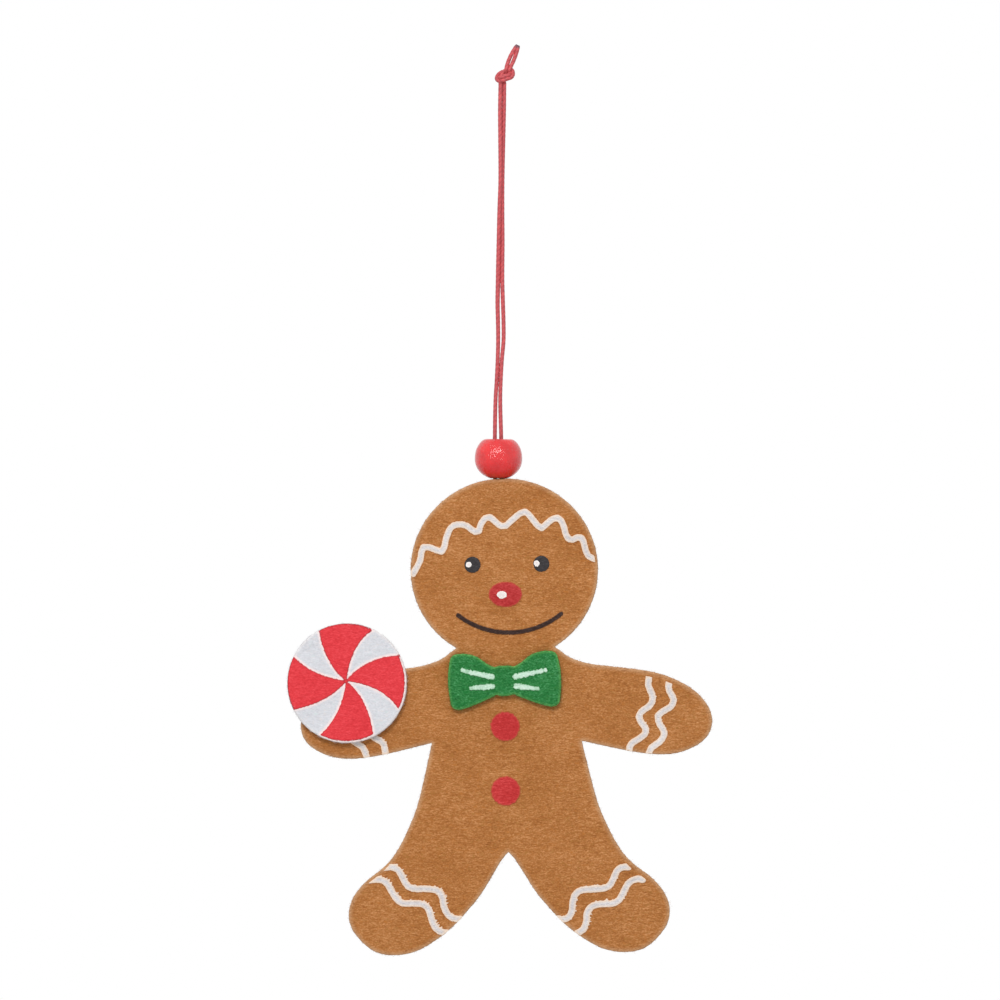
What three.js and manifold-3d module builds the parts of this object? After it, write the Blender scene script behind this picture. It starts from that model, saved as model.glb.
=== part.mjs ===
// A flat felt gingerbread figure on a looped cord, with a wooden bead over its head.
// Millimetres. The origin is the hang point, inside the top of the cord's loop. +Z is up,
// +X is to the right as seen from the front, and the printed front faces -Y.

import * as THREE from "three";
import { mergeVertices } from "three/addons/utils/BufferGeometryUtils.js";
import Module from "manifold-3d";

const wasm = await Module();
wasm.setup();

// Felt figure
const HEAD_WIDTH = 46.8;
const HEAD_TALL = 45.6;
const ARM_SPAN = 103;
const SOLE_DROP = 96; // from the head's centre down to the soles
const FELT_THICK = 2;
const BOND_THICK = 0.2; // bonding film between the two felt panels
const BOND_INSET = 1.5; // the film stops this far inside the felt's edge

// Cord and its loop
const CORD_DIA = 0.9;
const LOOP_DROP = 98.6; // from the hang point down to the crown of the head
const KNOT_CLEAR = 0.42; // from the hang point up to the knot, and down to the strands' tops
const CORD_LEAN_DEG = 0.66;
const FIGURE_LEAN_DEG = 0.82;
const ANCHOR_LEFT = 1.2; // the cord enters the crown this far left of the figure's middle
const BIGHT_RISE = 0.3; // the bight's ends stand this far out of the crown
const BIGHT_DEEP = 11.5;
const BIGHT_NECK = 3;
const EYE_WIDE = 4.4; // the bight's eye, across its centreline
const GAP = 0.3; // running clearance of a cord, and of the bead over the crown
const WELD = 0.00001; // corners closer than this are one corner

// Wooden bead
const BEAD_DIA = 11.9;
const BEAD_SHOULDER = 5; // from its widest ring up to its flat top
const BEAD_UPPER = 5.95; // upper half's semi-axis, cut short at the shoulder
const BEAD_LOWER = 4.9; // lower half's semi-axis
const BEAD_BORE = 3.6;

// Printed layers
const PRINT_THICK = 0.2;
const GLINT_THICK = 0.1; // highlights printed over the eyes and the nose
const ICING_WIDE = 1.6;
const STRIPE_WIDE = 1.65;
const PRINT_LOW = 1.15; // the print sits this far below and left of the die cut
const PRINT_LEFT = 0.45;
const EYE_DIA = 4;
const EYE_SPACING = 17.2;
const NOSE_WIDE = 8.3;
const NOSE_TALL = 6.3;
const MOUTH_WIDE = 25.8;
const MOUTH_SAG = 4.5;
const MOUTH_LINE = 1;
const BUTTON_DIA = 7.3;

// Bow tie
const BOW_WIDE = 28.5;
const BOW_TALL = 14.5;
const BOW_THICK = 1.5;
const BOW_TILT_DEG = 1.3;
const BOW_STROKE = 1.2;

// Candy disc
const DISC_DIA = 29.8;
const DISC_THICK = 2;
const SWIRL_DIA = 29.2;
const SWIRL_SHIFT = 0.2; // the swirl sits this far left of and above the disc's middle
const SWIRL_HUB = 2; // across the red hub
const PETALS = 4;
const PETAL_LEAD_DEG = -26.5; // edges of the first petal at the rim, clockwise from the top
const PETAL_TRAIL_DEG = 27.2;
const LEAD_TWIST_DEG = 27; // how far each edge lags at the hub
const TRAIL_TWIST_DEG = 18;

// Glue
const DAB_THICK = 0.4;
const BOW_DAB_DIA = 7;
const DISC_DAB_DIA = 6.2;

// Counts
const HEAD_STEPS = 48;
const ARM_STEPS = 36;
const LEG_STEPS = 50;
const ROUND_SIDES = 36;
const LINE_END_SIDES = 6; // on each round end of a printed line
const BEAD_RINGS = 14;
const CORD_SIDES = 8;
const STRAND_STEPS = 40;
const BIGHT_STEPS = 18;
const KNOT_STEPS = 30;
const MOUTH_STEPS = 16;
const BOW_WING_STEPS = 36;
const BOW_MIDDLE_STEPS = 4; // along half of its top or foot
const PETAL_STEPS = 10; // along each of a petal's edges
const CROSSING_HALVINGS = 12; // to find where the body's outline meets the head's
const RIBBON_STEP_SHARE = 0.75; // one step of a printed line, as a share of its width

// Half of the body's outline, as shares of half the arm span and of the sole drop
const armShares = [
  [0.14, 0.177], [0.238, 0.202], [0.301, 0.228], [0.388, 0.246], [0.524, 0.257],
  [0.66, 0.267], [0.765, 0.28], [0.876, 0.308], [0.957, 0.345], [0.998, 0.392],
  [0.981, 0.435], [0.926, 0.4625], [0.845, 0.481], [0.765, 0.4865], [0.672, 0.483],
  [0.573, 0.474], [0.363, 0.448],
];
const legShares = [
  [0.363, 0.448], [0.392, 0.516], [0.441, 0.617], [0.48, 0.668], [0.526, 0.717],
  [0.569, 0.751], [0.621, 0.778], [0.691, 0.807], [0.75, 0.844], [0.777, 0.881],
  [0.771, 0.921], [0.722, 0.961], [0.65, 0.991], [0.563, 1], [0.458, 0.991],
  [0.361, 0.963], [0.272, 0.926], [0.2, 0.885], [0.134, 0.842], [0.031, 0.754],
  [0, 0.735],
];

// The icing line along the brow, as shares of the head's half width and half height
const hairShares = [
  [-0.976, -0.03], [-0.9, 0.11], [-0.86, 0.26], [-0.75, 0.24], [-0.665, 0.21],
  [-0.61, 0.375], [-0.56, 0.475], [-0.49, 0.505], [-0.4, 0.49], [-0.33, 0.435],
  [-0.275, 0.415], [-0.245, 0.5], [-0.2, 0.565], [-0.15, 0.58], [-0.1, 0.54],
  [-0.045, 0.49], [0.005, 0.475], [0.085, 0.54], [0.185, 0.62], [0.235, 0.633],
  [0.285, 0.58], [0.355, 0.49], [0.4, 0.45], [0.47, 0.51], [0.54, 0.555],
  [0.58, 0.56], [0.62, 0.52], [0.65, 0.43], [0.68, 0.34], [0.72, 0.315],
  [0.77, 0.34], [0.82, 0.345], [0.845, 0.31], [0.867, 0.22], [0.895, 0.145],
  [0.95, 0.11], [1.04, 0.08],
];

// Icing stripes round the limbs, as shares of half the arm span and of the sole drop.
// Most run on past the felt's edge, where the print is cut off.
const handInnerShares = [
  [0.7, 0.255], [0.692, 0.295], [0.69, 0.306], [0.704, 0.324], [0.711, 0.341],
  [0.697, 0.359], [0.664, 0.371], [0.643, 0.384], [0.652, 0.401], [0.676, 0.419],
  [0.673, 0.431], [0.639, 0.446], [0.602, 0.459], [0.592, 0.478], [0.586, 0.5],
];
const handOuterShares = [
  [0.798, 0.27], [0.791, 0.302], [0.788, 0.315], [0.804, 0.333], [0.812, 0.348],
  [0.797, 0.363], [0.758, 0.375], [0.736, 0.385], [0.74, 0.404], [0.759, 0.422],
  [0.765, 0.434], [0.745, 0.452], [0.7, 0.47], [0.685, 0.488], [0.678, 0.505],
];
const rightShinShares = [
  [0.582, 0.779], [0.562, 0.778], [0.529, 0.785], [0.508, 0.808], [0.486, 0.827],
  [0.457, 0.833], [0.404, 0.835], [0.352, 0.837], [0.321, 0.848], [0.308, 0.87],
  [0.302, 0.895], [0.278, 0.911], [0.248, 0.912], [0.19, 0.905],
];
const rightFootShares = [
  [0.65, 0.812], [0.62, 0.81], [0.584, 0.819], [0.554, 0.845], [0.532, 0.865],
  [0.497, 0.873], [0.445, 0.874], [0.403, 0.879], [0.378, 0.895], [0.372, 0.921],
  [0.354, 0.941], [0.324, 0.95], [0.27, 0.96],
];
const leftShinShares = [
  [-0.65, 0.775], [-0.597, 0.771], [-0.566, 0.77], [-0.538, 0.777], [-0.513, 0.8],
  [-0.489, 0.821], [-0.461, 0.827], [-0.395, 0.828], [-0.345, 0.834], [-0.325, 0.849],
  [-0.318, 0.873], [-0.296, 0.897], [-0.269, 0.906], [-0.235, 0.908], [-0.18, 0.909],
];
const leftFootShares = [
  [-0.74, 0.806], [-0.673, 0.803], [-0.628, 0.802], [-0.595, 0.81], [-0.573, 0.83],
  [-0.546, 0.853], [-0.518, 0.864], [-0.462, 0.865], [-0.418, 0.868], [-0.393, 0.879],
  [-0.38, 0.902], [-0.364, 0.926], [-0.336, 0.94], [-0.308, 0.943], [-0.25, 0.946],
];
const leftHandRiseShare = 0.0125; // the left hand's stripes sit a little higher

// Places on the figure, as shares of half the arm span and of the sole drop
const discPlaceShare = [-0.771, 0.289];
const discDabShare = [-0.893, 0.36];
const bowPlaceShare = [0, 0.291];
const buttonPlaceShares = { button_upper: [-0.007, 0.408], button_lower: [-0.009, 0.576] };

// Places on the head, as shares of its half width and half height
const eyeMiddleShare = [0.028, 0.06];
const nosePlaceShare = [0.007, -0.27];
const mouthPlaceShare = [0.049, -0.491];

// Highlights, as shares of the radius or half size of what they lie on
const eyeGlintShare = 0.4;
const leftGlintPlaceShare = [-0.48, 0.03];
const rightGlintPlaceShare = [-0.57, 0.06];
const noseGlintShare = 0.32;
const noseGlintPlaceShare = [-0.21, -0.03];

// Half of the bow tie's outline, as shares of its half width and half height
const bowTopShares = [[0, 0.524], [0.09, 0.527], [0.165, 0.48]];
const bowWingShares = [
  [0.165, 0.48], [0.263, 0.565], [0.49, 0.89], [0.66, 0.99], [0.81, 1], [0.92, 0.92],
  [0.98, 0.5], [1, 0], [0.98, -0.57], [0.945, -0.88], [0.85, -0.985], [0.65, -0.905],
  [0.377, -0.7], [0.15, -0.493],
];
const bowFootShares = [[0.15, -0.493], [0.08, -0.54], [0, -0.548]];

// The bow tie's painted strokes, each from its thick inner end to its thin outer end
const bowStrokeShares = {
  bow_stroke_left_upper: [[-0.19, 0.15], [-0.78, 0.44]],
  bow_stroke_left_lower: [[-0.2, -0.1], [-0.63, -0.24]],
  bow_stroke_right_upper: [[0.13, 0.125], [0.735, 0.335]],
  bow_stroke_right_lower: [[0.14, -0.115], [0.59, -0.325]],
};
const strokeTaperShare = 0.55; // a stroke's outer end, as a share of its width

// The loop's two strands: share of the loop's drop, then offsets as shares of the cord's diameter
const bightSpreadShare = 0.92;
const leftStrandShares = [
  [0.065, -0.56, -0.2], [0.242, -0.25, -0.45], [0.394, -0.67, -0.15], [0.496, -0.81, 0],
  [0.597, -0.53, 0], [0.648, -0.44, 0], [0.699, -0.61, 0], [0.8, -0.89, 0], [0.896, -0.92, 0],
];
const rightStrandShares = [
  [0.065, 0.58, 0.2], [0.242, 0.33, 0.45], [0.394, 0.47, 0.15], [0.496, 0.61, 0],
  [0.597, 0.97, 0], [0.648, 1.05, 0], [0.699, 0.69, 0], [0.8, 0.58, 0], [0.896, 0.92, 0],
];
const strandTopShare = [0.42, 0.35]; // where a strand leaves the knot, in x and in y

// The doubled cord's way through its overhand knot and up to the cut ends, in cord diameters
const knotRouteShares = [
  [0, 0, 0.95], [0.1, 0.3, 1.9], [1, 0.65, 3.2], [2.2, 0.2, 3.3], [2.2, -0.75, 2.1],
  [0.8, -1.15, 1.5], [-0.95, -0.65, 1.05], [-1.15, 0.5, 1.7], [-0.1, 1.15, 2.7],
  [1.2, 0.3, 2.7], [1.4, -0.4, 3.8], [1.7, -0.1, 4.9], [2.75, 0, 7.6], [4.2, 0, 10.6],
];
const tailStartShare = 0.68; // how far along that way the two tails begin
const knotPitchShare = 0.47; // each strand runs this far to either side of that way,
const tailBulgeShare = 0.42; // this much further half way up the tails,
const tailMeetShare = 0.28; // and this far at the cut ends

// Colours, with roughness, of each material
const LOOKS = {
  gingerbread_felt: { color: 0xb87a42, roughness: 0.95, metalness: 0 },
  white_felt: { color: 0xd4d5dc, roughness: 0.95, metalness: 0 },
  green_felt: { color: 0x2c8e48, roughness: 0.95, metalness: 0 },
  icing_print: { color: 0xe8e2de, roughness: 0.8, metalness: 0 },
  red_print: { color: 0xc8303c, roughness: 0.75, metalness: 0 },
  candy_print: { color: 0xe63e46, roughness: 0.75, metalness: 0 },
  dark_print: { color: 0x2e2a2b, roughness: 0.7, metalness: 0 },
  mint_print: { color: 0xd5f0dd, roughness: 0.8, metalness: 0 },
  red_cord: { color: 0xcd525a, roughness: 0.7, metalness: 0 },
  red_lacquer: { color: 0xe23a40, roughness: 0.3, metalness: 0 },
  hot_melt: { color: 0xe9e2cf, roughness: 0.45, metalness: 0 },
};

// Sizes that follow from those above
const HALF_HEAD_WIDE = HEAD_WIDTH / 2;
const HALF_HEAD_TALL = HEAD_TALL / 2;
const HALF_SPAN = ARM_SPAN / 2;
const FRONT = BOND_THICK / 2 + FELT_THICK; // the felt's front face lies this far ahead of the bond
const POCKET_HALF = CORD_DIA / 2 + GAP; // half the depth of the pocket for the cord
const CROWN = HALF_HEAD_TALL * Math.sqrt(1 - (ANCHOR_LEFT / HALF_HEAD_WIDE) ** 2);

const rad = THREE.MathUtils.degToRad;
const onHead = ([x, z]) => new THREE.Vector2(x * HALF_HEAD_WIDE, z * HALF_HEAD_TALL);
const onBody = ([x, z]) => new THREE.Vector2(x * HALF_SPAN, -z * SOLE_DROP);
const onBow = ([x, z]) => new THREE.Vector2((x * BOW_WIDE) / 2, (z * BOW_TALL) / 2);
const mirrored = (points) => points.map((p) => new THREE.Vector2(-p.x, p.y)).reverse();

// A geometry as a solid that can be joined and cut
function solidOf(geometry) {
  const bare = geometry.clone();
  bare.deleteAttribute("normal");
  bare.deleteAttribute("uv");
  const merged = mergeVertices(bare, WELD);
  return new wasm.Manifold(
    new wasm.Mesh({
      numProp: 3,
      vertProperties: merged.attributes.position.array,
      triVerts: new Uint32Array(merged.index.array),
    }),
  );
}

// A solid back as a geometry, its largest body where loose crumbs were cut off
function geometryOf(solid) {
  const bodies = solid.decompose().sort((a, b) => b.volume() - a.volume());
  const mesh = bodies[0].getMesh();
  const geometry = new THREE.BufferGeometry();
  geometry.setAttribute("position", new THREE.BufferAttribute(mesh.vertProperties, 3));
  geometry.setIndex(new THREE.BufferAttribute(mesh.triVerts, 1));
  const faceted = geometry.toNonIndexed();
  faceted.computeVertexNormals();
  return faceted;
}

// A smooth line through a few points, as evenly spaced points
function smooth(points, steps) {
  const curve = new THREE.CatmullRomCurve3(
    points.map((p) => new THREE.Vector3(p.x, p.y, 0)),
    false,
    "centripetal",
  );
  return curve.getSpacedPoints(steps).map((p) => new THREE.Vector2(p.x, p.y));
}

// A flat piece cut from an outline in X and Z, from its back face at y = -back towards the front
function slab(shape, back, thick) {
  const flat = new THREE.ExtrudeGeometry(shape, {
    depth: thick,
    bevelEnabled: false,
    curveSegments: ROUND_SIDES / 2,
  });
  return flat.rotateX(Math.PI / 2).translate(0, -back, 0);
}

function oval(place, halfWide, halfTall) {
  return new THREE.Shape().absellipse(place.x, place.y, halfWide, halfTall, 0, 2 * Math.PI);
}

function circle(place, diameter) {
  return oval(place, diameter / 2, diameter / 2);
}

// The round-ended stretch of a printed line between two of its points
function stretch(a, b, halfA, halfB) {
  const along = Math.atan2(b.y - a.y, b.x - a.x);
  const shape = new THREE.Shape();
  shape.absarc(a.x, a.y, halfA, along + Math.PI / 2, along + 1.5 * Math.PI);
  shape.absarc(b.x, b.y, halfB, along - Math.PI / 2, along + Math.PI / 2);
  return shape;
}

// A printed line with round ends, whose half width may change evenly from end to end
function ribbon(points, startWide, endWide, back) {
  const half = (i) =>
    THREE.MathUtils.lerp(startWide, endWide, i / (points.length - 1)) / 2;
  let line = null;
  for (let i = 0; i + 1 < points.length; i++) {
    const piece = new THREE.ExtrudeGeometry(
      stretch(points[i], points[i + 1], half(i), half(i + 1)),
      { depth: PRINT_THICK, bevelEnabled: false, curveSegments: LINE_END_SIDES / 2 },
    );
    const solid = solidOf(piece.rotateX(Math.PI / 2).translate(0, -back, 0));
    line = line ? line.add(solid) : solid;
  }
  return line;
}

function stepsAlong(points, wide) {
  let long = 0;
  for (let i = 1; i < points.length; i++) long += points[i].distanceTo(points[i - 1]);
  return Math.ceil(long / (wide * RIBBON_STEP_SHARE));
}

// The right half of the body outline outside the head, from the neck to the crotch
function halfBody() {
  const arm = smooth(armShares.map(onBody), ARM_STEPS);
  const leg = smooth(legShares.map(onBody), LEG_STEPS);
  const all = [...arm, ...leg.slice(1)];
  const inHead = (p) => (p.x / HALF_HEAD_WIDE) ** 2 + (p.y / HALF_HEAD_TALL) ** 2 < 1;
  const first = all.findIndex((p) => !inHead(p));
  let within = all[first - 1].clone();
  let beyond = all[first].clone();
  for (let i = 0; i < CROSSING_HALVINGS; i++) {
    const middle = within.clone().lerp(beyond, 0.5);
    if (inHead(middle)) within = middle;
    else beyond = middle;
  }
  return [beyond, ...all.slice(first)];
}

// The whole figure's outline: the body, then the head's oval round to the other side of the neck
function figureOutline() {
  const right = halfBody();
  const neck = right[0];
  const start = Math.atan2(neck.y / HALF_HEAD_TALL, neck.x / HALF_HEAD_WIDE);
  const sweep = Math.PI - 2 * start;
  const head = [];
  for (let i = 1; i < HEAD_STEPS; i++) {
    const angle = Math.PI - start - (sweep * i) / HEAD_STEPS;
    head.push(onHead([Math.cos(angle), Math.sin(angle)]));
  }
  return [...right, ...mirrored(right).slice(1), ...head];
}

// An outline moved inwards by a set distance; it runs clockwise
function insetOutline(points, inset) {
  const count = points.length;
  return points.map((p, i) => {
    const before = p.clone().sub(points[(i + count - 1) % count]).normalize();
    const after = points[(i + 1) % count].clone().sub(p).normalize();
    const side = new THREE.Vector2(before.y + after.y, -before.x - after.x).normalize();
    const square = side.x * before.y - side.y * before.x;
    return p.clone().addScaledVector(side, inset / square);
  });
}

// The pocket that the cord's bight lies in, about the point where it enters the crown
function bightPocket() {
  const neckHalf = bightSpreadShare * CORD_DIA + POCKET_HALF;
  const eyeHalf = EYE_WIDE / 2 + POCKET_HALF;
  const foot = BIGHT_DEEP + POCKET_HALF;
  const neckLong = BIGHT_NECK + POCKET_HALF;
  const neck = new THREE.BoxGeometry(2 * neckHalf, 2 * POCKET_HALF, BIGHT_RISE + neckLong + GAP);
  neck.translate(0, 0, (BIGHT_RISE + GAP - neckLong) / 2);
  const eyeTall = (foot - BIGHT_NECK) / 2;
  const eye = slab(
    oval(new THREE.Vector2(0, eyeTall - foot), eyeHalf, eyeTall),
    -POCKET_HALF,
    2 * POCKET_HALF,
  );
  return solidOf(neck).add(solidOf(eye)).translate([-ANCHOR_LEFT, 0, CROWN]);
}

function feltPanel(shape, back, pocket) {
  return geometryOf(solidOf(slab(shape, back, FELT_THICK)).subtract(pocket));
}

function bondFilm(outline, pocket) {
  const shape = new THREE.Shape(insetOutline(outline, BOND_INSET));
  return geometryOf(solidOf(slab(shape, -BOND_THICK / 2, BOND_THICK)).subtract(pocket));
}

// A round cord along a smooth line through points
function tube(points, steps) {
  const section = new THREE.Shape().absarc(0, 0, CORD_DIA / 2, 0, 2 * Math.PI);
  return new THREE.ExtrudeGeometry(section, {
    steps,
    curveSegments: CORD_SIDES / 2,
    extrudePath: new THREE.CatmullRomCurve3(points, false, "centripetal"),
  });
}

// One strand of the hanging loop, in a frame whose Z axis runs along the cord
function strand(shares, side) {
  const [topX, topY] = strandTopShare;
  const foot = LOOP_DROP - BIGHT_RISE - GAP;
  const spread = side * bightSpreadShare * CORD_DIA;
  const points = shares.map(
    ([down, x, y]) => new THREE.Vector3(x * CORD_DIA, y * CORD_DIA, -down * LOOP_DROP),
  );
  points.unshift(new THREE.Vector3(side * topX * CORD_DIA, side * topY * CORD_DIA, -KNOT_CLEAR));
  points.push(new THREE.Vector3(spread, 0, -foot));
  return tube(points, STRAND_STEPS);
}

// The folded middle of the cord, trapped in the head, about the point where it enters
function bight() {
  const spread = bightSpreadShare * CORD_DIA;
  const eye = EYE_WIDE / 2;
  const wide = BIGHT_DEEP - eye;
  const half = [
    new THREE.Vector3(spread, 0, BIGHT_RISE),
    new THREE.Vector3(spread, 0, -BIGHT_NECK),
    new THREE.Vector3(eye, 0, -wide),
  ];
  const other = half.map((p) => new THREE.Vector3(-p.x, 0, p.z)).reverse();
  const points = [...half, new THREE.Vector3(0, 0, -BIGHT_DEEP), ...other];
  return tube(points, BIGHT_STEPS).translate(-ANCHOR_LEFT, 0, CROWN);
}

// The dab of glue in the bight's eye, which holds both panels
function anchorDab() {
  const eye = EYE_WIDE / 2 - POCKET_HALF;
  const place = new THREE.Vector2(-ANCHOR_LEFT, CROWN - BIGHT_DEEP + EYE_WIDE / 2);
  return slab(circle(place, 2 * eye), -POCKET_HALF, 2 * POCKET_HALF);
}

// The overhand knot in the doubled cord, with its two cut ends
function knot() {
  const way = new THREE.CatmullRomCurve3(
    knotRouteShares.map(([x, y, z]) => new THREE.Vector3(x, y, z).multiplyScalar(CORD_DIA)),
    false,
    "centripetal",
  );
  const middle = way.getSpacedPoints(KNOT_STEPS);
  const strands = [-1, 1].map((side) => {
    const points = middle.map((p, i) => {
      const before = middle[Math.max(i - 1, 0)];
      const after = middle[Math.min(i + 1, KNOT_STEPS)];
      const across = new THREE.Vector3(after.z - before.z, 0, before.x - after.x).normalize();
      const up = Math.max(0, (i / KNOT_STEPS - tailStartShare) / (1 - tailStartShare));
      const bulge = tailBulgeShare * Math.sin(Math.PI * up);
      const pitch = THREE.MathUtils.lerp(knotPitchShare, tailMeetShare, up) + bulge;
      return p.clone().addScaledVector(across, side * pitch * CORD_DIA);
    });
    return solidOf(tube(points, KNOT_STEPS));
  });
  const knotted = geometryOf(strands[0].add(strands[1]));
  knotted.computeBoundingBox();
  return knotted.translate(0, 0, KNOT_CLEAR - knotted.boundingBox.min.z);
}

// The bead, about the middle of its widest ring, with its bore along Z
function bead() {
  const bore = BEAD_BORE / 2;
  const radius = BEAD_DIA / 2;
  const top = Math.asin(BEAD_SHOULDER / BEAD_UPPER);
  const foot = -Math.acos(bore / radius);
  const profile = [];
  for (let i = 0; i <= BEAD_RINGS; i++) {
    const angle = THREE.MathUtils.lerp(foot, top, i / BEAD_RINGS);
    const tall = angle > 0 ? BEAD_UPPER : BEAD_LOWER;
    profile.push(new THREE.Vector2(radius * Math.cos(angle), tall * Math.sin(angle)));
  }
  profile.push(new THREE.Vector2(bore, BEAD_SHOULDER));
  profile.push(profile[0].clone());
  return new THREE.LatheGeometry(profile, ROUND_SIDES).rotateX(Math.PI / 2);
}

// How far the bead's widest ring lies above its foot
function beadRise() {
  return BEAD_LOWER * Math.sqrt(1 - (BEAD_BORE / BEAD_DIA) ** 2);
}

function bowShape() {
  const top = smooth(bowTopShares.map(onBow), BOW_MIDDLE_STEPS);
  const wing = smooth(bowWingShares.map(onBow), BOW_WING_STEPS);
  const foot = smooth(bowFootShares.map(onBow), BOW_MIDDLE_STEPS);
  const right = [...top, ...wing.slice(1), ...foot.slice(1)];
  return new THREE.Shape([...right, ...mirrored(right).slice(1, -1)]);
}

// The angle of a petal's edge, clockwise from the top, at a share of the swirl's radius
function petalEdge(rimDeg, twistDeg, share, bend) {
  return rad(rimDeg - twistDeg * (1 - share ** bend));
}

// The four-petalled swirl, one shape that meets in its hub
function swirlShape() {
  const leadBendShare = 0.8;
  const trailBendShare = 1.5;
  const radius = SWIRL_DIA / 2;
  const hubShare = SWIRL_HUB / SWIRL_DIA;
  const points = [];
  const put = (angle, share) =>
    points.push(
      new THREE.Vector2(Math.sin(angle), Math.cos(angle)).multiplyScalar(radius * share),
    );
  for (let petal = 0; petal < PETALS; petal++) {
    const turn = (petal * 2 * Math.PI) / PETALS;
    for (let i = 0; i <= PETAL_STEPS; i++) {
      const share = THREE.MathUtils.lerp(hubShare, 1, i / PETAL_STEPS);
      put(turn + petalEdge(PETAL_LEAD_DEG, LEAD_TWIST_DEG, share, leadBendShare), share);
    }
    for (let i = 1; i < PETAL_STEPS; i++) {
      const rim = THREE.MathUtils.lerp(PETAL_LEAD_DEG, PETAL_TRAIL_DEG, i / PETAL_STEPS);
      put(turn + rad(rim), 1);
    }
    for (let i = PETAL_STEPS; i >= 0; i--) {
      const share = THREE.MathUtils.lerp(hubShare, 1, i / PETAL_STEPS);
      put(turn + petalEdge(PETAL_TRAIL_DEG, TRAIL_TWIST_DEG, share, trailBendShare), share);
    }
  }
  return new THREE.Shape(points);
}

const materials = Object.fromEntries(
  Object.entries(LOOKS).map(([name, look]) => [name, new THREE.MeshStandardMaterial(look)]),
);

function add(group, name, look, geometry) {
  const mesh = new THREE.Mesh(geometry, materials[look].clone());
  mesh.name = name;
  group.add(mesh);
  return mesh;
}

// The two felt panels, the film that bonds them and the cord's anchorage between them
function addFelt(figure, outline) {
  const shape = new THREE.Shape(outline);
  const pocket = bightPocket();
  add(figure, "front_felt", "gingerbread_felt", feltPanel(shape, BOND_THICK / 2, pocket));
  add(figure, "back_felt", "gingerbread_felt", feltPanel(shape, -FRONT, pocket));
  add(figure, "bond_film", "hot_melt", bondFilm(outline, pocket));
  add(figure, "cord_bight", "red_cord", bight());
  add(figure, "anchor_dab", "hot_melt", anchorDab());
}

function addFace(figure) {
  const middle = onHead(eyeMiddleShare);
  const eyes = { left: [-1, leftGlintPlaceShare], right: [1, rightGlintPlaceShare] };
  for (const [name, [side, glint]] of Object.entries(eyes)) {
    const place = new THREE.Vector2(middle.x + (side * EYE_SPACING) / 2, middle.y);
    const glintPlace = new THREE.Vector2(...glint).multiplyScalar(EYE_DIA / 2).add(place);
    add(figure, "eye_" + name, "dark_print", slab(circle(place, EYE_DIA), FRONT, PRINT_THICK));
    add(
      figure,
      "eye_glint_" + name,
      "icing_print",
      slab(circle(glintPlace, EYE_DIA * eyeGlintShare), FRONT + PRINT_THICK, GLINT_THICK),
    );
  }
  const nose = onHead(nosePlaceShare);
  const [glintX, glintZ] = noseGlintPlaceShare;
  const noseGlint = new THREE.Vector2(
    nose.x + (glintX * NOSE_WIDE) / 2,
    nose.y + (glintZ * NOSE_TALL) / 2,
  );
  const glintShape = oval(
    noseGlint,
    (NOSE_WIDE / 2) * noseGlintShare,
    (NOSE_TALL / 2) * noseGlintShare,
  );
  add(figure, "nose", "red_print", slab(oval(nose, NOSE_WIDE / 2, NOSE_TALL / 2), FRONT, PRINT_THICK));
  add(figure, "nose_glint", "icing_print", slab(glintShape, FRONT + PRINT_THICK, GLINT_THICK));
  add(figure, "mouth", "dark_print", geometryOf(mouth()));
}

// The smile, an arc worked out from its width and its sag
function mouth() {
  const corner = onHead(mouthPlaceShare);
  const radius = (MOUTH_WIDE ** 2 / 4 + MOUTH_SAG ** 2) / (2 * MOUTH_SAG);
  const half = Math.asin(MOUTH_WIDE / 2 / radius);
  const points = [];
  for (let i = 0; i <= MOUTH_STEPS; i++) {
    const angle = THREE.MathUtils.lerp(-half, half, i / MOUTH_STEPS);
    points.push(
      new THREE.Vector2(
        corner.x + radius * Math.sin(angle),
        corner.y - MOUTH_SAG + radius * (1 - Math.cos(angle)),
      ),
    );
  }
  return ribbon(points, MOUTH_LINE, MOUTH_LINE, FRONT);
}

// Icing lines, cut off where the felt ends and where the print's own edge falls short of it
function addIcing(figure, outline) {
  const whole = solidOf(slab(new THREE.Shape(outline), FRONT, PRINT_THICK));
  const printed = whole.intersect(whole.translate([-PRINT_LEFT, 0, -PRINT_LOW]));
  const line = (name, points, wide) => {
    const path = smooth(points, stepsAlong(points, wide));
    const cut = ribbon(path, wide, wide, FRONT).intersect(printed);
    add(figure, name, "icing_print", geometryOf(cut));
  };
  const toLeft = ([x, z]) => [-x, z - leftHandRiseShare];
  line("hairline_icing", hairShares.map(onHead), ICING_WIDE);
  line("right_hand_stripe_inner", handInnerShares.map(onBody), STRIPE_WIDE);
  line("right_hand_stripe_outer", handOuterShares.map(onBody), STRIPE_WIDE);
  line("left_hand_stripe_inner", handInnerShares.map(toLeft).map(onBody), STRIPE_WIDE);
  line("left_hand_stripe_outer", handOuterShares.map(toLeft).map(onBody), STRIPE_WIDE);
  line("right_foot_stripe_upper", rightShinShares.map(onBody), STRIPE_WIDE);
  line("right_foot_stripe_lower", rightFootShares.map(onBody), STRIPE_WIDE);
  line("left_foot_stripe_upper", leftShinShares.map(onBody), STRIPE_WIDE);
  line("left_foot_stripe_lower", leftFootShares.map(onBody), STRIPE_WIDE);
}

function addButtons(figure) {
  for (const [name, share] of Object.entries(buttonPlaceShares)) {
    const spot = circle(onBody(share), BUTTON_DIA);
    add(figure, name, "red_print", slab(spot, FRONT, PRINT_THICK));
  }
}

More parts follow.
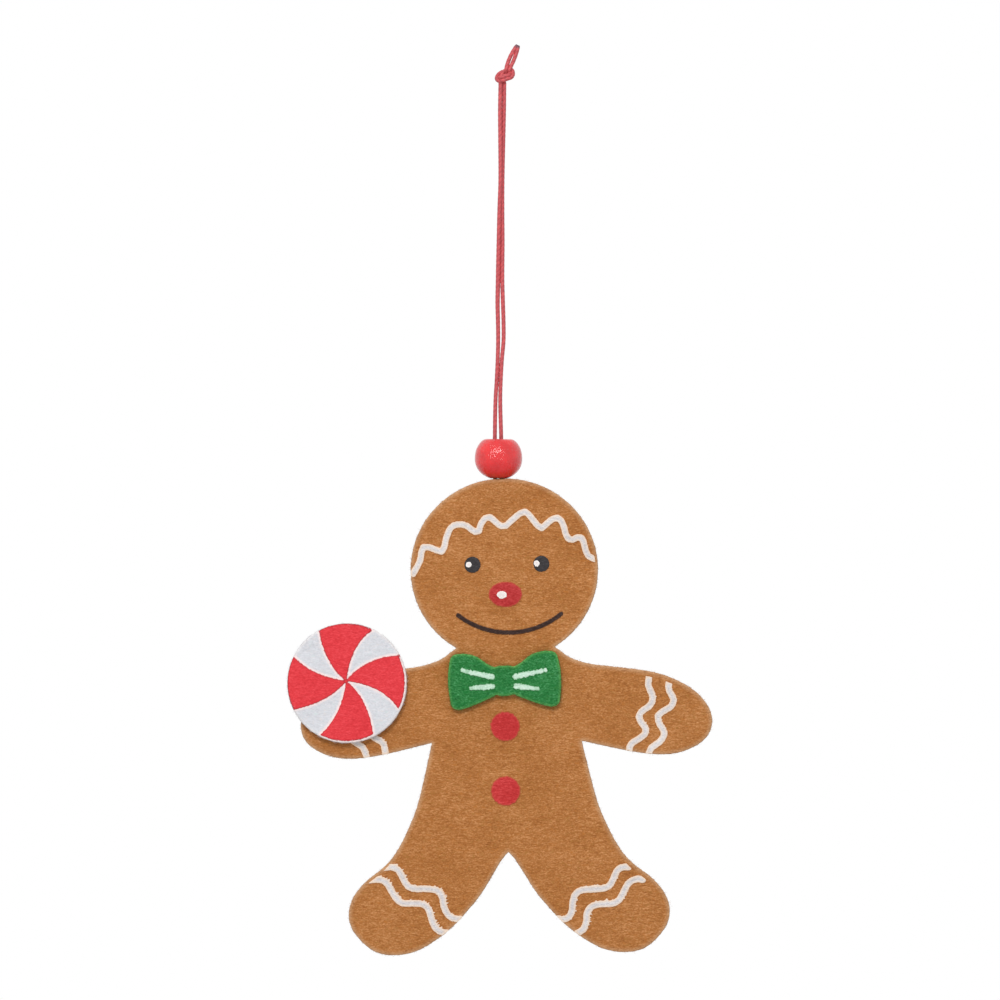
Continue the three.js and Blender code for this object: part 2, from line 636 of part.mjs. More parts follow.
function addBow(figure) {
  const bow = new THREE.Group();
  const place = onBody(bowPlaceShare);
  const centre = new THREE.Vector2();
  const face = FRONT + DAB_THICK + BOW_THICK;
  bow.position.set(place.x, 0, place.y);
  bow.rotation.y = -rad(BOW_TILT_DEG);
  add(bow, "bow_glue_dab", "hot_melt", slab(circle(centre, BOW_DAB_DIA), FRONT, DAB_THICK));
  add(bow, "bow_tie", "green_felt", slab(bowShape(), FRONT + DAB_THICK, BOW_THICK));
  for (const [name, ends] of Object.entries(bowStrokeShares)) {
    const line = ribbon(ends.map(onBow), BOW_STROKE, BOW_STROKE * strokeTaperShare, face);
    add(bow, name, "mint_print", geometryOf(line));
  }
  figure.add(bow);
}

function addCandy(figure) {
  const candy = new THREE.Group();
  const place = onBody(discPlaceShare);
  const centre = new THREE.Vector2();
  const swirl = slab(swirlShape(), FRONT + DAB_THICK + DISC_THICK, PRINT_THICK);
  candy.position.set(place.x, 0, place.y);
  add(candy, "candy_disc", "white_felt", slab(circle(centre, DISC_DIA), FRONT + DAB_THICK, DISC_THICK));
  add(candy, "candy_swirl", "candy_print", swirl.translate(-SWIRL_SHIFT, 0, SWIRL_SHIFT));
  const dab = circle(onBody(discDabShare), DISC_DAB_DIA);
  add(figure, "candy_glue_dab", "hot_melt", slab(dab, FRONT, DAB_THICK));
  figure.add(candy);
}

function makeFigure() {
  const figure = new THREE.Group();
  const outline = figureOutline();
  addFelt(figure, outline);
  addFace(figure);
  addIcing(figure, outline);
  addButtons(figure);
  addBow(figure);
  addCandy(figure);
  figure.position.set(ANCHOR_LEFT, 0, -CROWN);
  return figure;
}

function makeOrnament() {
  const ornament = new THREE.Group();
  const cord = new THREE.Group();
  const hung = new THREE.Group();
  add(ornament, "cord_knot", "red_cord", knot());
  add(cord, "strand_left", "red_cord", strand(leftStrandShares, -1));
  add(cord, "strand_right", "red_cord", strand(rightStrandShares, 1));
  const wood = add(cord, "wooden_bead", "red_lacquer", bead());
  wood.position.z = -LOOP_DROP + GAP + beadRise();
  cord.rotation.y = rad(CORD_LEAN_DEG);
  hung.position.z = -LOOP_DROP;
  hung.rotation.y = -rad(CORD_LEAN_DEG + FIGURE_LEAN_DEG);
  hung.add(makeFigure());
  cord.add(hung);
  ornament.add(cord);
  return ornament;
}

export default makeOrnament();
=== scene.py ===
"""A felt gingerbread figure on a looped cord, dressed round its fixed frame.

Lengths are in metres. +Z is up, +X is to the right as seen from the front, and the
printed front faces -Y. The origin is the hang point, just under the cord's knot.
"""

from itertools import accumulate

import bpy
import numpy as np
from bpy.props import FloatProperty, FloatVectorProperty, IntProperty, PointerProperty
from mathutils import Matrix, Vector
from mathutils.geometry import delaunay_2d_cdt


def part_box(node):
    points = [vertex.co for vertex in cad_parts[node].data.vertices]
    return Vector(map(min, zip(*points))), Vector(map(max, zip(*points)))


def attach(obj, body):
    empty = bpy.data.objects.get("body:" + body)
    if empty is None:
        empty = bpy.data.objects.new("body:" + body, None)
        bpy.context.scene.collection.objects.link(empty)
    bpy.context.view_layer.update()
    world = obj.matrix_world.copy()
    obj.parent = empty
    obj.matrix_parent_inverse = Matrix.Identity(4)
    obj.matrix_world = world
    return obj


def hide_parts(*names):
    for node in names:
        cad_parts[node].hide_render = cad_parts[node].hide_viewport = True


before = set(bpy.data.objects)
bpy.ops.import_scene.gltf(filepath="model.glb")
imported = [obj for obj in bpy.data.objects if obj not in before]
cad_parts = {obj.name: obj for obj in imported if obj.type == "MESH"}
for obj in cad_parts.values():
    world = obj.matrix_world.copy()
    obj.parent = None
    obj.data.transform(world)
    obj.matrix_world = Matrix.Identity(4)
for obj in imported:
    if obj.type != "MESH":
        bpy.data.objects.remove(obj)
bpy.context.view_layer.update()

bl_info = {
    "name": "Felt Ornament",
    "version": (1, 0, 0),
    "blender": (4, 5, 0),
    "location": "View3D > Sidebar > Felt Ornament",
    "description": "Builds a felt gingerbread figure, its bead and its cord round a fixed frame",
    "category": "Add Mesh",
}

MM = 0.001

# Cord: its lean, where the two strands run, and the way of the knot, within 0.3 mm of the
# frame's solids. A strand's shares are of LOOP_DROP down and of ROUTE_UNIT across and back,
# and the knot's are of ROUTE_UNIT.
ROUTE_UNIT = 0.9 * MM
CORD_LEAN = np.radians(0.66)
FIGURE_LEAN = np.radians(0.82)
LOOP_DROP = 98.6 * MM
BIGHT_RISE = 0.3 * MM
BIGHT_DEEP = 11.5 * MM
BIGHT_NECK = 3 * MM
BIGHT_EYE = 4.4 * MM
STRAND_GAP = 0.3 * MM
SPREAD_SHARE = 0.92
STRAND_TOP_RISE = 1 * MM
STRAND_SHARES = (
    (0, -0.65, -0.34), (0.065, -0.69, -0.32), (0.242, -0.36, -0.5), (0.318, -0.55, -0.37),
    (0.394, -0.63, -0.22), (0.496, -0.7, 0), (0.557, -0.75, 0), (0.597, -0.6, 0),
    (0.648, -0.48, 0), (0.699, -0.55, 0), (0.752, -0.76, 0), (0.8, -1.01, 0), (0.896, -1.08, 0),
), (
    (0, 0.42, 0.34), (0.065, 0.42, 0.32), (0.242, 0.22, 0.5), (0.318, 0.29, 0.37),
    (0.394, 0.44, 0.22), (0.496, 0.5, 0), (0.557, 0.76, 0), (0.597, 0.95, 0),
    (0.648, 1.03, 0), (0.699, 0.62, 0), (0.752, 0.37, 0), (0.8, 0.3, 0), (0.896, 0.68, 0),
)
SWELL_SHARES = (0.13, 0.03)
SWELL_MIDDLE_SHARE = 0.49
SWELL_SPAN_SHARE = 0.1
KNOT_ROUTE_SHARES = (
    (0, 0, 0.95), (0.1, 0.3, 1.9), (1, 0.65, 3.2), (2.2, 0.2, 3.3), (2.2, -0.75, 2.1),
    (0.8, -1.15, 1.5), (-0.95, -0.65, 1.05), (-1.15, 0.5, 1.7), (-0.1, 1.15, 2.7),
    (1.2, 0.3, 2.7), (1.4, -0.4, 3.8), (1.7, -0.1, 4.9), (2.75, 0, 7.6), (4.2, 0, 10.6),
)
KNOT_PITCH_SHARE = 0.47
TAIL_START_SHARE = 0.68
TAIL_BULGE_SHARES = (0.2, 0.42)
TAIL_MEET_SHARE = 0.16
TAIL_TAPER = 0.8 * MM
TAIL_TIP_SHARE = 0.62
CUT_REACH = 1 * MM
PLIES = 2
CORD_SIDES = 18
KNOT_STEP = 0.1 * MM
STRAND_STEP = 0.22 * MM
BIGHT_STEP = 0.2 * MM
KNOT_FINE = 24
CORD_FINE = 40

# Bead
BEAD_RADIUS = 5.95 * MM
BEAD_SHOULDER = 5 * MM
BEAD_UPPER = 5.95 * MM
BEAD_LOWER = 4.9 * MM
BEAD_BORE = 1.8 * MM
BEAD_LIP = 0.7 * MM
BEAD_WEAR_LEAST = 0.1
BEAD_SETTLE = 0.22 * MM
BEAD_SQUARENESS = (2.1, 2.25)
BEAD_ARC_POINTS = 60
BEAD_STEP = 0.12 * MM
BEAD_SIDES = 112

# Outlines, and the seeded waves and grids that roughen and fill them
CORNER = np.radians(40)
WELD = 0.002 * MM
OUTLINE_LEAST = 0.06 * MM
OUTLINE_FINE = 12
AREA_LEAST = 1e-11
RISE_LEAST = 1e-12
FRONT_FACING = -0.9
EASE_TRIES = 40
EASE_REACH = 0.5 * MM
FILL_JITTER_SHARE = 0.22
FILL_CLEAR_SHARE = 0.6
FILL_OUTLINE_POINTS = 500
BLOCK = 8000
WAVES = 28
WAVE_SPREAD_SHARES = (0.6, 1.7)
SEED = 344

# Felt: how close its points lie on its face and along its edge, how it stands up and down,
# its loose fibres, and where the bow tie departs from the frame's outline
FIGURE_SPACINGS = (0.6 * MM, 0.35 * MM)
BOW_SPACINGS = (0.35 * MM, 0.2 * MM)
CANDY_SPACINGS = (0.35 * MM, 0.25 * MM)
BACK_COARSENESS = 6
BUCKLE_WAVE = 40 * MM
BUCKLE_SHARE = 1.6
NAP_WAVE = 1.4 * MM
EDGE_WAVES = (0.7 * MM, 0.33 * MM)
EDGE_WAVE_SHARES = (0.7, 0.5)
FELT_ROUGH = 0.035 * MM
FIBRE_LENGTH = 0.8 * MM
FIBRE_LIFT = 0.12
FIBRE_RINGS = 5
FIBRE_SIDES = 3
FIBRE_ROOT = 0.04 * MM
FIBRE_NAPS = 6
FIBRE_INSIDE = 1 * MM
BOW_FIBRES = 1800
CANDY_FIBRES = 1500
BOW_SHARES = (0.99, 0.965)
BOW_SHIFT = -0.2 * MM

# Ink: its slabs, its ragged edges, and where it departs from the frame's outlines. An edge is
# the step between its points, how ragged it is and how much fuller the print is. A stroke's
# fit is its turn in degrees, its share of the length and its shift in millimetres.
INK_EDGES = {
    "plain": (0.12 * MM, 0.03 * MM, 0),
    "mouth": (0.12 * MM, 0.03 * MM, 0.05 * MM),
    "nose": (0.12 * MM, 0.06 * MM, 0),
    "glint": (0.12 * MM, 0.07 * MM, -0.09 * MM),
    "button": (0.12 * MM, 0.07 * MM, 0),
    "stroke": (0.08 * MM, 0.1 * MM, 0.08 * MM),
    "swirl": (0.1 * MM, 0.05 * MM, 0),
}
INK_SPACING = 0.4 * MM
INK_RIM_SHARE = 0.45
INK_SUNK = 0.1 * MM
HAND_FRAY_SHARE = 0.35
FRAY_WAVE = 0.4 * MM
FRAY_STRETCH = (0.4, 0.6, 1)
FRAY_WAY = (0.9, 0.45)
STROKE_FITS = (
    (1.2, 0.9, (-0.27, 0.12)),
    (-8.7, 0.87, (-0.25, 0)),
    (-1.6, 0.885, (0, 0.17)),
    (6.1, 0.84, (0.05, -0.05)),
)
HUB_DRAWN_IN = 0.5 * MM
HUB_EDGE = 1 * MM
HUB_FADE = 0.8 * MM
HUB_RISE = 0.38 * MM
SWIRL_STEP = 0.3 * MM
STAIN_REACH = 0.5 * MM
BESIDE_REACH = 0.7 * MM
BESIDE_FADE = 0.4 * MM
SLIP_WAY = (-0.6, 0.8)
SLIP_LEAST = -0.2
HEATHER_TINTS = ((0.03, 0.008, -0.02), (-0.027, 0.008, -0.012))

# Stage: a lamp's place is taken from the middle of the view, and its size is its width.
VIEW_MIDDLE = Vector((-0.7, -2.1, -103.9)) * MM
FILM_WIDTH = 36
CLIP_NEAR = 0.05
CLIP_FAR = 50
KEY_LAMP = "key_lamp"
LAMPS = (
    (KEY_LAMP, (-0.16, -1, 0.56), 0.36),
    ("top_lamp", (-0.1, -0.35, 1.1), 0.6),
    ("back_lamp", (0.2, 1, 0.4), 0.6),
)
TOP_POWER_SHARE = 0.4
FLOOR_RADIUS = 600 * MM
FLOOR_SIDES = 96
WHITE = (1, 1, 1, 1)

FELT_SLOTS = {
    "front_felt": "gingerbread_felt",
    "back_felt": "gingerbread_felt",
    "bow_tie": "green_felt",
    "candy_disc": "white_felt",
}
STRIPE_NODES = (
    "right_hand_stripe_inner", "right_hand_stripe_outer",
    "left_hand_stripe_inner", "left_hand_stripe_outer",
    "right_foot_stripe_upper", "right_foot_stripe_lower",
    "left_foot_stripe_upper", "left_foot_stripe_lower",
)
STROKE_NODES = (
    "bow_stroke_left_upper", "bow_stroke_left_lower",
    "bow_stroke_right_upper", "bow_stroke_right_lower",
)


def written(red, green, blue):
    """A colour as it is written, from 0 to 255, as shares of white."""
    return (red / 255, green / 255, blue / 255)


def length_setting(name, about, default, least, most):
    """A length that a user may change."""
    return FloatProperty(
        name=name, description=about, default=default, min=least, max=most, unit="LENGTH",
        precision=6,
    )


def colour_setting(name, about, *levels):
    """A colour that a user may change, with its default as it is written."""
    return FloatVectorProperty(
        name=name, description=about, default=written(*levels), size=3, min=0, max=1,
        subtype="COLOR_GAMMA",
    )


class OrnamentCordSettings(bpy.types.PropertyGroup):
    diameter: length_setting("Cord Diameter", "Across the waxed cord", 1.04 * MM, 0.3 * MM, 3 * MM)
    lay_length: length_setting(
        "Lay Length", "One full turn of the cord's two plies", 2.6 * MM, 1 * MM, 20 * MM
    )
    ply_depth: FloatProperty(
        name="Ply Depth", description="Depth of the grooves between plies, as a share of the radius",
        default=0.07, min=0, max=0.5, subtype="FACTOR",
    )
    colour: colour_setting("Cord Colour", "Dyed cotton under the wax", 200, 84, 89)


class OrnamentBeadSettings(bpy.types.PropertyGroup):
    rounding: length_setting(
        "Edge Rounding", "Radius of the bead's edge round its flat top", 1 * MM, 0.1 * MM, 1.5 * MM
    )
    roughness: FloatProperty(
        name="Lacquer Roughness", description="How dull the bead's lacquer is",
        default=0.07, min=0, max=1, subtype="FACTOR",
    )
    colour: colour_setting("Lacquer Colour", "Red lacquer on the turned wood", 232, 33, 38)


class OrnamentFeltSettings(bpy.types.PropertyGroup):
    rim: length_setting(
        "Rim Rounding", "Radius that the felt's cut edge is worn to", 0.4 * MM, 0.05 * MM, 0.9 * MM
    )
    nap: length_setting(
        "Nap Height", "How far the felt's surface stands up and down", 0.035 * MM, 0, 0.3 * MM
    )
    fibre: length_setting(
        "Fibre Thickness", "Across one loose fibre", 0.036 * MM, 0.01 * MM, 0.1 * MM
    )
    fibre_count: IntProperty(
        name="Loose Fibres", description="Loose fibres on one face of the figure",
        default=7000, min=0, max=7500,
    )
    gingerbread: colour_setting("Gingerbread Colour", "The figure's brown felt", 176, 114, 61)
    green: colour_setting("Bow Tie Colour", "The bow tie's green felt", 41, 120, 60)
    white: colour_setting("Candy Colour", "The candy disc's white felt", 216, 217, 223)


class OrnamentInkSettings(bpy.types.PropertyGroup):
    icing: colour_setting("Icing Colour", "Off-white ink of the icing lines", 218, 212, 212)
    red: colour_setting(
        "Button Colour", "Red ink of the buttons; the nose is a little darker", 193, 48, 49
    )
    candy: colour_setting("Swirl Colour", "Red ink of the candy's swirl", 225, 57, 65)
    eye: colour_setting("Eye Colour", "Near-black ink of the eyes", 47, 44, 46)
    mouth: colour_setting("Mouth Colour", "Dark brown ink of the mouth", 50, 32, 27)
    mint: colour_setting("Stroke Colour", "Pale mint paint on the bow tie", 198, 230, 207)
    fray: length_setting(
        "Fray", "How far the foot stripes' right edges stray along the fibres",
        0.26 * MM, 0, 0.5 * MM,
    )


class OrnamentStageSettings(bpy.types.PropertyGroup):
    view_width: length_setting(
        "View Width", "Width that the camera's view takes in at the ornament", 250 * MM, 100 * MM, 2
    )
    view_distance: length_setting("View Distance", "From the camera to the ornament", 2, 0.5, 10)
    floor_drop: length_setting(
        "Floor Drop", "From the hang point down to the floor", 300 * MM, 230 * MM, 2
    )
    key_power: FloatProperty(
        name="Key Power", description="Power of the soft lamp over the camera",
        default=6.5, min=0, max=100, unit="POWER",
    )
    back_power: FloatProperty(
        name="Back Power", description="Power of the soft lamp behind the ornament",
        default=3, min=0, max=100, unit="POWER",
    )
    room_light: FloatProperty(
        name="Room Light", description="Strength of the even light from all round",
        default=0.5, min=0, max=2,
    )


class OrnamentSettings(bpy.types.PropertyGroup):
    cord: PointerProperty(type=OrnamentCordSettings)
    bead: PointerProperty(type=OrnamentBeadSettings)
    felt: PointerProperty(type=OrnamentFeltSettings)
    ink: PointerProperty(type=OrnamentInkSettings)
    stage: PointerProperty(type=OrnamentStageSettings)


# Shapes


def turns(sides):
    """Even angles once round a circle."""
    return np.arange(sides) * 2 * np.pi / sides


def unit(ways):
    """Ways made one long."""
    return ways / np.linalg.norm(ways, axis=-1, keepdims=True)


def cross(a, b):
    """The flat cross product, above zero where way b points to the left of way a."""
    return a[..., 0] * b[..., 1] - a[..., 1] * b[..., 0]


def upright(flat, depth):
    """Points in X, Y and Z from flat ones in X and Z and how far back each lies."""
    return np.stack([flat[..., 0], depth, flat[..., 1]], -1)


def eased(loop):
    """A closed loop with each point moved halfway to its neighbours' middle."""
    return (np.roll(loop, 1, -2) + 2 * loop + np.roll(loop, -1, -2)) / 4


def way_along(line):
    """How far along a line each of its points lies."""
    return np.concatenate([[0], np.cumsum(np.linalg.norm(np.diff(line, axis=0), axis=1))])


def crinkle(points, size, seed):
    """An even jumble of waves, each about size long: the sum of the sines of k.p + phase over
    seeded random directions k / |k|, lengths and phases, scaled to a mean square of one."""
    rng = np.random.default_rng([SEED, seed])
    way = unit(rng.normal(size=(WAVES, points.shape[-1])))
    long = size * rng.uniform(*WAVE_SPREAD_SHARES, (WAVES, 1))
    turn = rng.uniform(0, 2 * np.pi, WAVES)
    return np.sin(points @ (2 * np.pi * way / long).T + turn).sum(-1) * np.sqrt(2 / WAVES)


def curve_through(points, fine, closed=False, sharp=None):
    """Fine points on the centripetal Catmull-Rom line through a few points. On each stretch it
    is the cubic with end slopes taken from square-root-of-chord knots; an open end and a sharp
    point take their outer neighbour as the reflection of their inner one."""
    ahead = np.roll(points, -1, 0)
    before = np.roll(points, 1, 0)
    beyond = np.roll(points, -2, 0)
    if sharp is None:
        sharp = np.zeros(len(points), bool)
    if not closed:
        sharp = sharp.copy()
        sharp[[0, -1]] = True
    before = np.where(sharp[:, None], 2 * points - ahead, before)
    beyond = np.where(np.roll(sharp, -1)[:, None], 2 * ahead - points, beyond)
    if not closed:
        points, ahead, before, beyond = (a[:-1] for a in (points, ahead, before, beyond))
    knots = [
        np.sqrt(np.linalg.norm(b - a, axis=1, keepdims=True))
        for a, b in ((before, points), (points, ahead), (ahead, beyond))
    ]
    leave, arrive = (
        knots[1] * ((b - a) / first - (c - a) / (first + second) + (c - b) / second)
        for a, b, c, first, second in (
            (before, points, ahead, *knots[:2]), (points, ahead, beyond, *knots[1:]),
        )
    )
    t = np.linspace(0, 1, fine, endpoint=False)[None, :, None]
    line = (
        (2 * t**3 - 3 * t**2 + 1) * points[:, None]
        + (t**3 - 2 * t**2 + t) * leave[:, None]
        + (3 * t**2 - 2 * t**3) * ahead[:, None]
        + (t**3 - t**2) * arrive[:, None]
    ).reshape(-1, points.shape[1])
    return line if closed else np.vstack([line, ahead[-1:]])


def even_steps(line, step, closed=False):
    """Points at even distances along a line, at most step apart, by its length so far."""
    if closed:
        line = np.vstack([line, line[:1]])
    far = way_along(line)
    count = int(np.ceil(far[-1] / step))
    at = np.linspace(0, far[-1], count + 1)[: count if closed else None]
    return np.stack([np.interp(at, far, axis) for axis in line.T], -1)


def point_values(mesh, field):
    """A field of the mesh's points, as rows of three."""
    values = np.empty(len(mesh.vertices) * 3)
    mesh.vertices.foreach_get(field, values)
    return values.reshape(-1, 3)


def node_outline(node, step):
    """The outline of a flat CAD node's front face, rounded between its corners, as evenly
    spaced points in X and Z that run anticlockwise as seen from the front."""
    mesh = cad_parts[node].data
    spots = point_values(mesh, "co")[:, [0, 2]]
    front = np.array([f.vertices[:] for f in mesh.polygons if f.normal.y < FRONT_FACING])
    points, _, triangles, *_ = delaunay_2d_cdt(
        [Vector(p) for p in spots.tolist()], [], front.tolist(), 1, WELD, False
    )
    points, triangles = np.array(points), np.array(triangles)
    centre = points[triangles].mean(1)
    start = spots[front]
    run = np.roll(start, -1, 1) - start
    away = centre[:, None, None] - start[None]
    held = (cross(run, away) > -AREA_LEAST).all(2).any(1)
    edges = {(int(t[i]), int(t[i - 2])) for t in triangles[held] for i in range(3)}
    after = {a: b for a, b in edges if (b, a) not in edges}
    loops = []
    while after:
        start = here = min(after)
        loop = []
        while here in after:
            loop.append(here)
            here = after.pop(here)
        if here == start:
            loops.append(points[loop])
    first, *others = max(loops, key=lambda found: np.ptp(found, axis=0).sum())
    loop = [first]
    for point in others:
        if np.linalg.norm(point - loop[-1]) > OUTLINE_LEAST:
            loop.append(point)
    loop = np.array(loop)
    if np.linalg.norm(loop[0] - loop[-1]) < OUTLINE_LEAST:
        loop = loop[:-1]
    into = loop - np.roll(loop, 1, 0)
    out = np.roll(loop, -1, 0) - loop
    sharp = np.abs(np.arctan2(cross(into, out), (into * out).sum(1))) > CORNER
    if cross(loop, out).sum() < 0:
        loop, sharp = loop[::-1], sharp[::-1]
    return even_steps(curve_through(loop, OUTLINE_FINE, True, sharp), step, True)


def outward(loop):
    """Unit normals of a closed anticlockwise loop, square to the chord between neighbours."""
    chord = np.roll(loop, -1, 0) - np.roll(loop, 1, 0)
    return unit(np.stack([chord[:, 1], -chord[:, 0]], -1))


def depth_inside(points, loop):
    """For each point, how far inside a closed loop it lies, or -1 outside it: the least
    distance to the loop's straight stretches, with the sign from how often a ray to the
    right crosses them."""
    start = loop.astype(np.float32)
    run = np.roll(start, -1, 0) - start
    depth = np.empty(len(points), np.float32)
    for block in np.array_split(np.arange(len(points)), len(points) // BLOCK + 1):
        away = points[block].astype(np.float32)[:, None] - start
        share = np.clip((away * run).sum(-1) / (run**2).sum(-1), 0, 1)
        apart = away - share[..., None] * run
        near = np.sqrt((apart**2).sum(-1).min(1))
        rise = np.where(run[:, 1] == 0, RISE_LEAST, run[:, 1])
        up = away[..., 1] / rise
        met = (up >= 0) & (up < 1) & (away[..., 0] < up * run[:, 0])
        depth[block] = np.where(met.sum(1) % 2 == 1, near, -1)
    return depth


def fill(loop, spacing, seed):
    """Triangles over the inside of a closed loop: its own points, then the points of a
    jittered triangular grid of that spacing that lie inside it, joined by the Delaunay rule.
    Gives the extra points, how deep inside they lie, the triangles, and the places where the
    loop crosses itself, without which the rest is right."""
    rng = np.random.default_rng([SEED, seed])
    low, high = loop.min(0), loop.max(0)
    columns = np.arange(low[0], high[0], spacing)
    rows = np.arange(low[1], high[1], spacing * np.sqrt(0.75))
    x, z = np.meshgrid(columns, rows)
    x = x + spacing / 2 * (np.arange(len(rows)) % 2)[:, None]
    grid = np.stack([x.ravel(), z.ravel()], -1)
    grid += rng.uniform(-FILL_JITTER_SHARE, FILL_JITTER_SHARE, grid.shape) * spacing
    coarse = loop[:: max(1, len(loop) // FILL_OUTLINE_POINTS)]
    depth = depth_inside(grid, coarse)
    keep = depth > FILL_CLEAR_SHARE * spacing
    grid, depth = grid[keep], depth[keep]
    points = np.vstack([loop, grid])
    spots, _, triangles, came_from, _, parents = delaunay_2d_cdt(
        [Vector(p) for p in points.tolist()], [], [list(range(len(loop)))], 1, WELD / 1000, True
    )
    crossed = [tuple(spot) for spot, source in zip(spots, came_from) if len(source) == 0]
    whence = np.array([source[0] if len(source) else 0 for source in came_from])
    triangles = whence[np.array([t for t, held in zip(triangles, parents) if held])]
    a, b, c = (points[triangles[:, i]] for i in range(3))
    turned = cross(b - a, c - a) < 0
    triangles[turned] = triangles[turned][:, ::-1]
    return grid, depth, triangles, crossed


def band(rings, around):
    """Quads between neighbouring rings of points, each ring a closed loop."""
    ring, step = np.meshgrid(np.arange(rings - 1), np.arange(around), indexing="ij")
    here = ring * around + step
    along = ring * around + (step + 1) % around
    return np.stack([here, here + around, along + around, along], -1).reshape(-1, 4)


def relief(flat):
    """How far the felt's face lies back of flat at points in X and Z: the sum of a slow buckle
    and a short nap."""
    nap = bpy.context.scene.felt_ornament.felt.nap
    return BUCKLE_SHARE * nap * crinkle(flat, BUCKLE_WAVE, 1) + nap * crinkle(flat, NAP_WAVE, 2)


def worn(loop, reach):
    """A closed loop with its corners worn round over about a reach, by easing it 2 n^2 times
    where the reach is n steps long."""
    step = np.linalg.norm(loop[1] - loop[0])
    for _ in range(int(np.ceil(2 * (reach / step) ** 2))):
        loop = eased(loop)
    return loop


def cut_slab(loop, front, back, rim, spacing, seed, fray=None, rough=0.0, back_fine=False):
    """A flat piece with a rounded rim. Its edge is a profile carried round the outline: inset
    rim * (1 - sin a) and depth rim * (1 - cos a) for a from 0 to 90 degrees, straight down the
    side, and the same at the back. Its faces are filled by the Delaunay rule, and follow the
    felt's relief. Gives points, faces and each point's distance inside the outline."""
    quarter = np.linspace(0, np.pi / 2, 5)
    inset = rim * (1 - np.sin(quarter))
    depth = rim * (1 - np.cos(quarter))
    middle = np.linspace(front + rim, back - rim, 4)[1:-1]
    loop = worn(loop, 0.5 * rim)
    insets = np.concatenate([inset, 0 * middle, inset[::-1]])
    depths = np.concatenate([front + depth, middle, (back - depth)[::-1]])
    normal = outward(loop)
    flat = loop[None] - insets[:, None, None] * normal[None]
    y = depths[:, None] + 0 * flat[..., 0]
    solid = upright(flat, y)
    ragged = rough * sum(
        share * crinkle(solid, wave, seed + i)
        for i, (share, wave) in enumerate(zip(EDGE_WAVE_SHARES, EDGE_WAVES))
    )
    if fray is not None:
        ragged += fray(solid, normal)
    ragged[[0, -1]] = ragged[[1, -2]]
    flat = flat + ragged[..., None] * normal[None]
    rings = len(insets)
    around = len(loop)
    steps = (spacing, spacing if back_fine else BACK_COARSENESS * spacing)
    for _ in range(EASE_TRIES):
        filled = [fill(flat[ring], step, seed + 1 + ring) for ring, step in zip((0, -1), steps)]
        crossed = np.array(filled[0][3] + filled[1][3])
        if not len(crossed):
            break
        apart = np.linalg.norm(flat[:, :, None] - crossed, axis=-1).min(-1, keepdims=True)
        flat = np.where(apart < EASE_REACH, eased(flat), flat)
    else:
        raise RuntimeError("an outline crosses itself")
    faces = band(rings, around).tolist()
    extra = []
    inside = [np.repeat(insets, around)]
    total = rings * around
    for ring, level, (grid, deep, triangles, _), flip in (
        (0, front, filled[0], False), (rings - 1, back, filled[1], True),
    ):
        extra.append(upright(grid, level + 0 * grid[:, 0]))
        inside.append(deep + rim)
        index = np.concatenate([ring * around + np.arange(around), total + np.arange(len(grid))])
        total += len(grid)
        triangles = index[triangles]
        faces += (triangles[:, ::-1] if flip else triangles).tolist()
    points = np.vstack([upright(flat, y).reshape(-1, 3), *extra])
    points[:, 1] += relief(points[:, [0, 2]])
    return points, faces, np.concatenate(inside)


def carried(way, tangent):
    """A sideways way carried on to the next tangent: the way less its part along the tangent,
    made one long."""
    way = way - (way @ tangent) * tangent
    return way / np.linalg.norm(way)


def twisted_tube(
    line, radius, lay_length, ply_depth, round_ends=(False, False), taper=0, swell=1.0
):
    """A cord of two plies along a line. Round each ring the radius is
    radius * swell * (1 - ply_depth * (1 - |cos (angle - turn)|)), where turn grows by a full
    circle every lay length. A round end closes over as half of an ellipsoid, and a taper
    draws the far end in by the square of the way along it; each end then closes on a middle
    point. Gives points, faces, groove depth and each point's distance from the far end."""
    far = way_along(line)
    tangent = unit(np.gradient(line, far, axis=0))
    least = np.linalg.eigh(tangent.T @ tangent)[1][:, 0]
    across = np.array(list(accumulate(tangent, carried, initial=least))[1:])
    over = np.cross(tangent, across)
    angle = turns(CORD_SIDES)
    turn = 2 * np.pi * far / lay_length
    ply = np.abs(np.cos(PLIES / 2 * (angle[None] - turn[:, None])))
    size = swell * np.ones(len(far))
    for end, along in zip(round_ends, (far, far[-1] - far)):
        if end:
            size *= np.sqrt(1 - np.clip(1 - along / radius, 0, 0.97) ** 2)
    if taper:
        size *= 1 - (1 - TAIL_TIP_SHARE) * np.clip(1 - (far[-1] - far) / taper, 0, 1) ** 2
    reach = radius * size[:, None] * (1 - ply_depth * (1 - ply))
    rings = line[:, None] + reach[..., None] * (
        np.cos(angle)[None, :, None] * across[:, None] + np.sin(angle)[None, :, None] * over[:, None]
    )
    count = len(line) * CORD_SIDES
    quads = band(len(line), CORD_SIDES)
    first = np.arange(CORD_SIDES)
    last = count - CORD_SIDES + first
    caps = np.vstack([
        np.stack([0 * first + count, np.roll(first, -1), first], -1),
        np.stack([0 * last + count + 1, last, np.roll(last, -1)], -1),
    ])
    points = np.vstack([rings.reshape(-1, 3), line[:1], line[-1:]])
    groove = np.concatenate([(1 - ply).ravel(), [0.5, 0.5]])
    left = np.concatenate([np.repeat(far[-1] - far, CORD_SIDES), [far[-1], 0]])
    return points, quads[:, ::-1].tolist() + caps.tolist(), groove, left


def lathe(profile, sides):
    """A closed surface of revolution about Z: each profile point (radius, height), in a closed
    loop that runs up its outside, goes round a circle in even steps."""
    angle = turns(sides)
    points = np.stack([
        profile[:, 0, None] * np.cos(angle),
        profile[:, 0, None] * np.sin(angle),
        profile[:, 1, None] + 0 * angle,
    ], -1)
    quads = band(len(profile) + 1, sides) % (len(profile) * sides)
    return points.reshape(-1, 3), quads[:, ::-1].tolist()


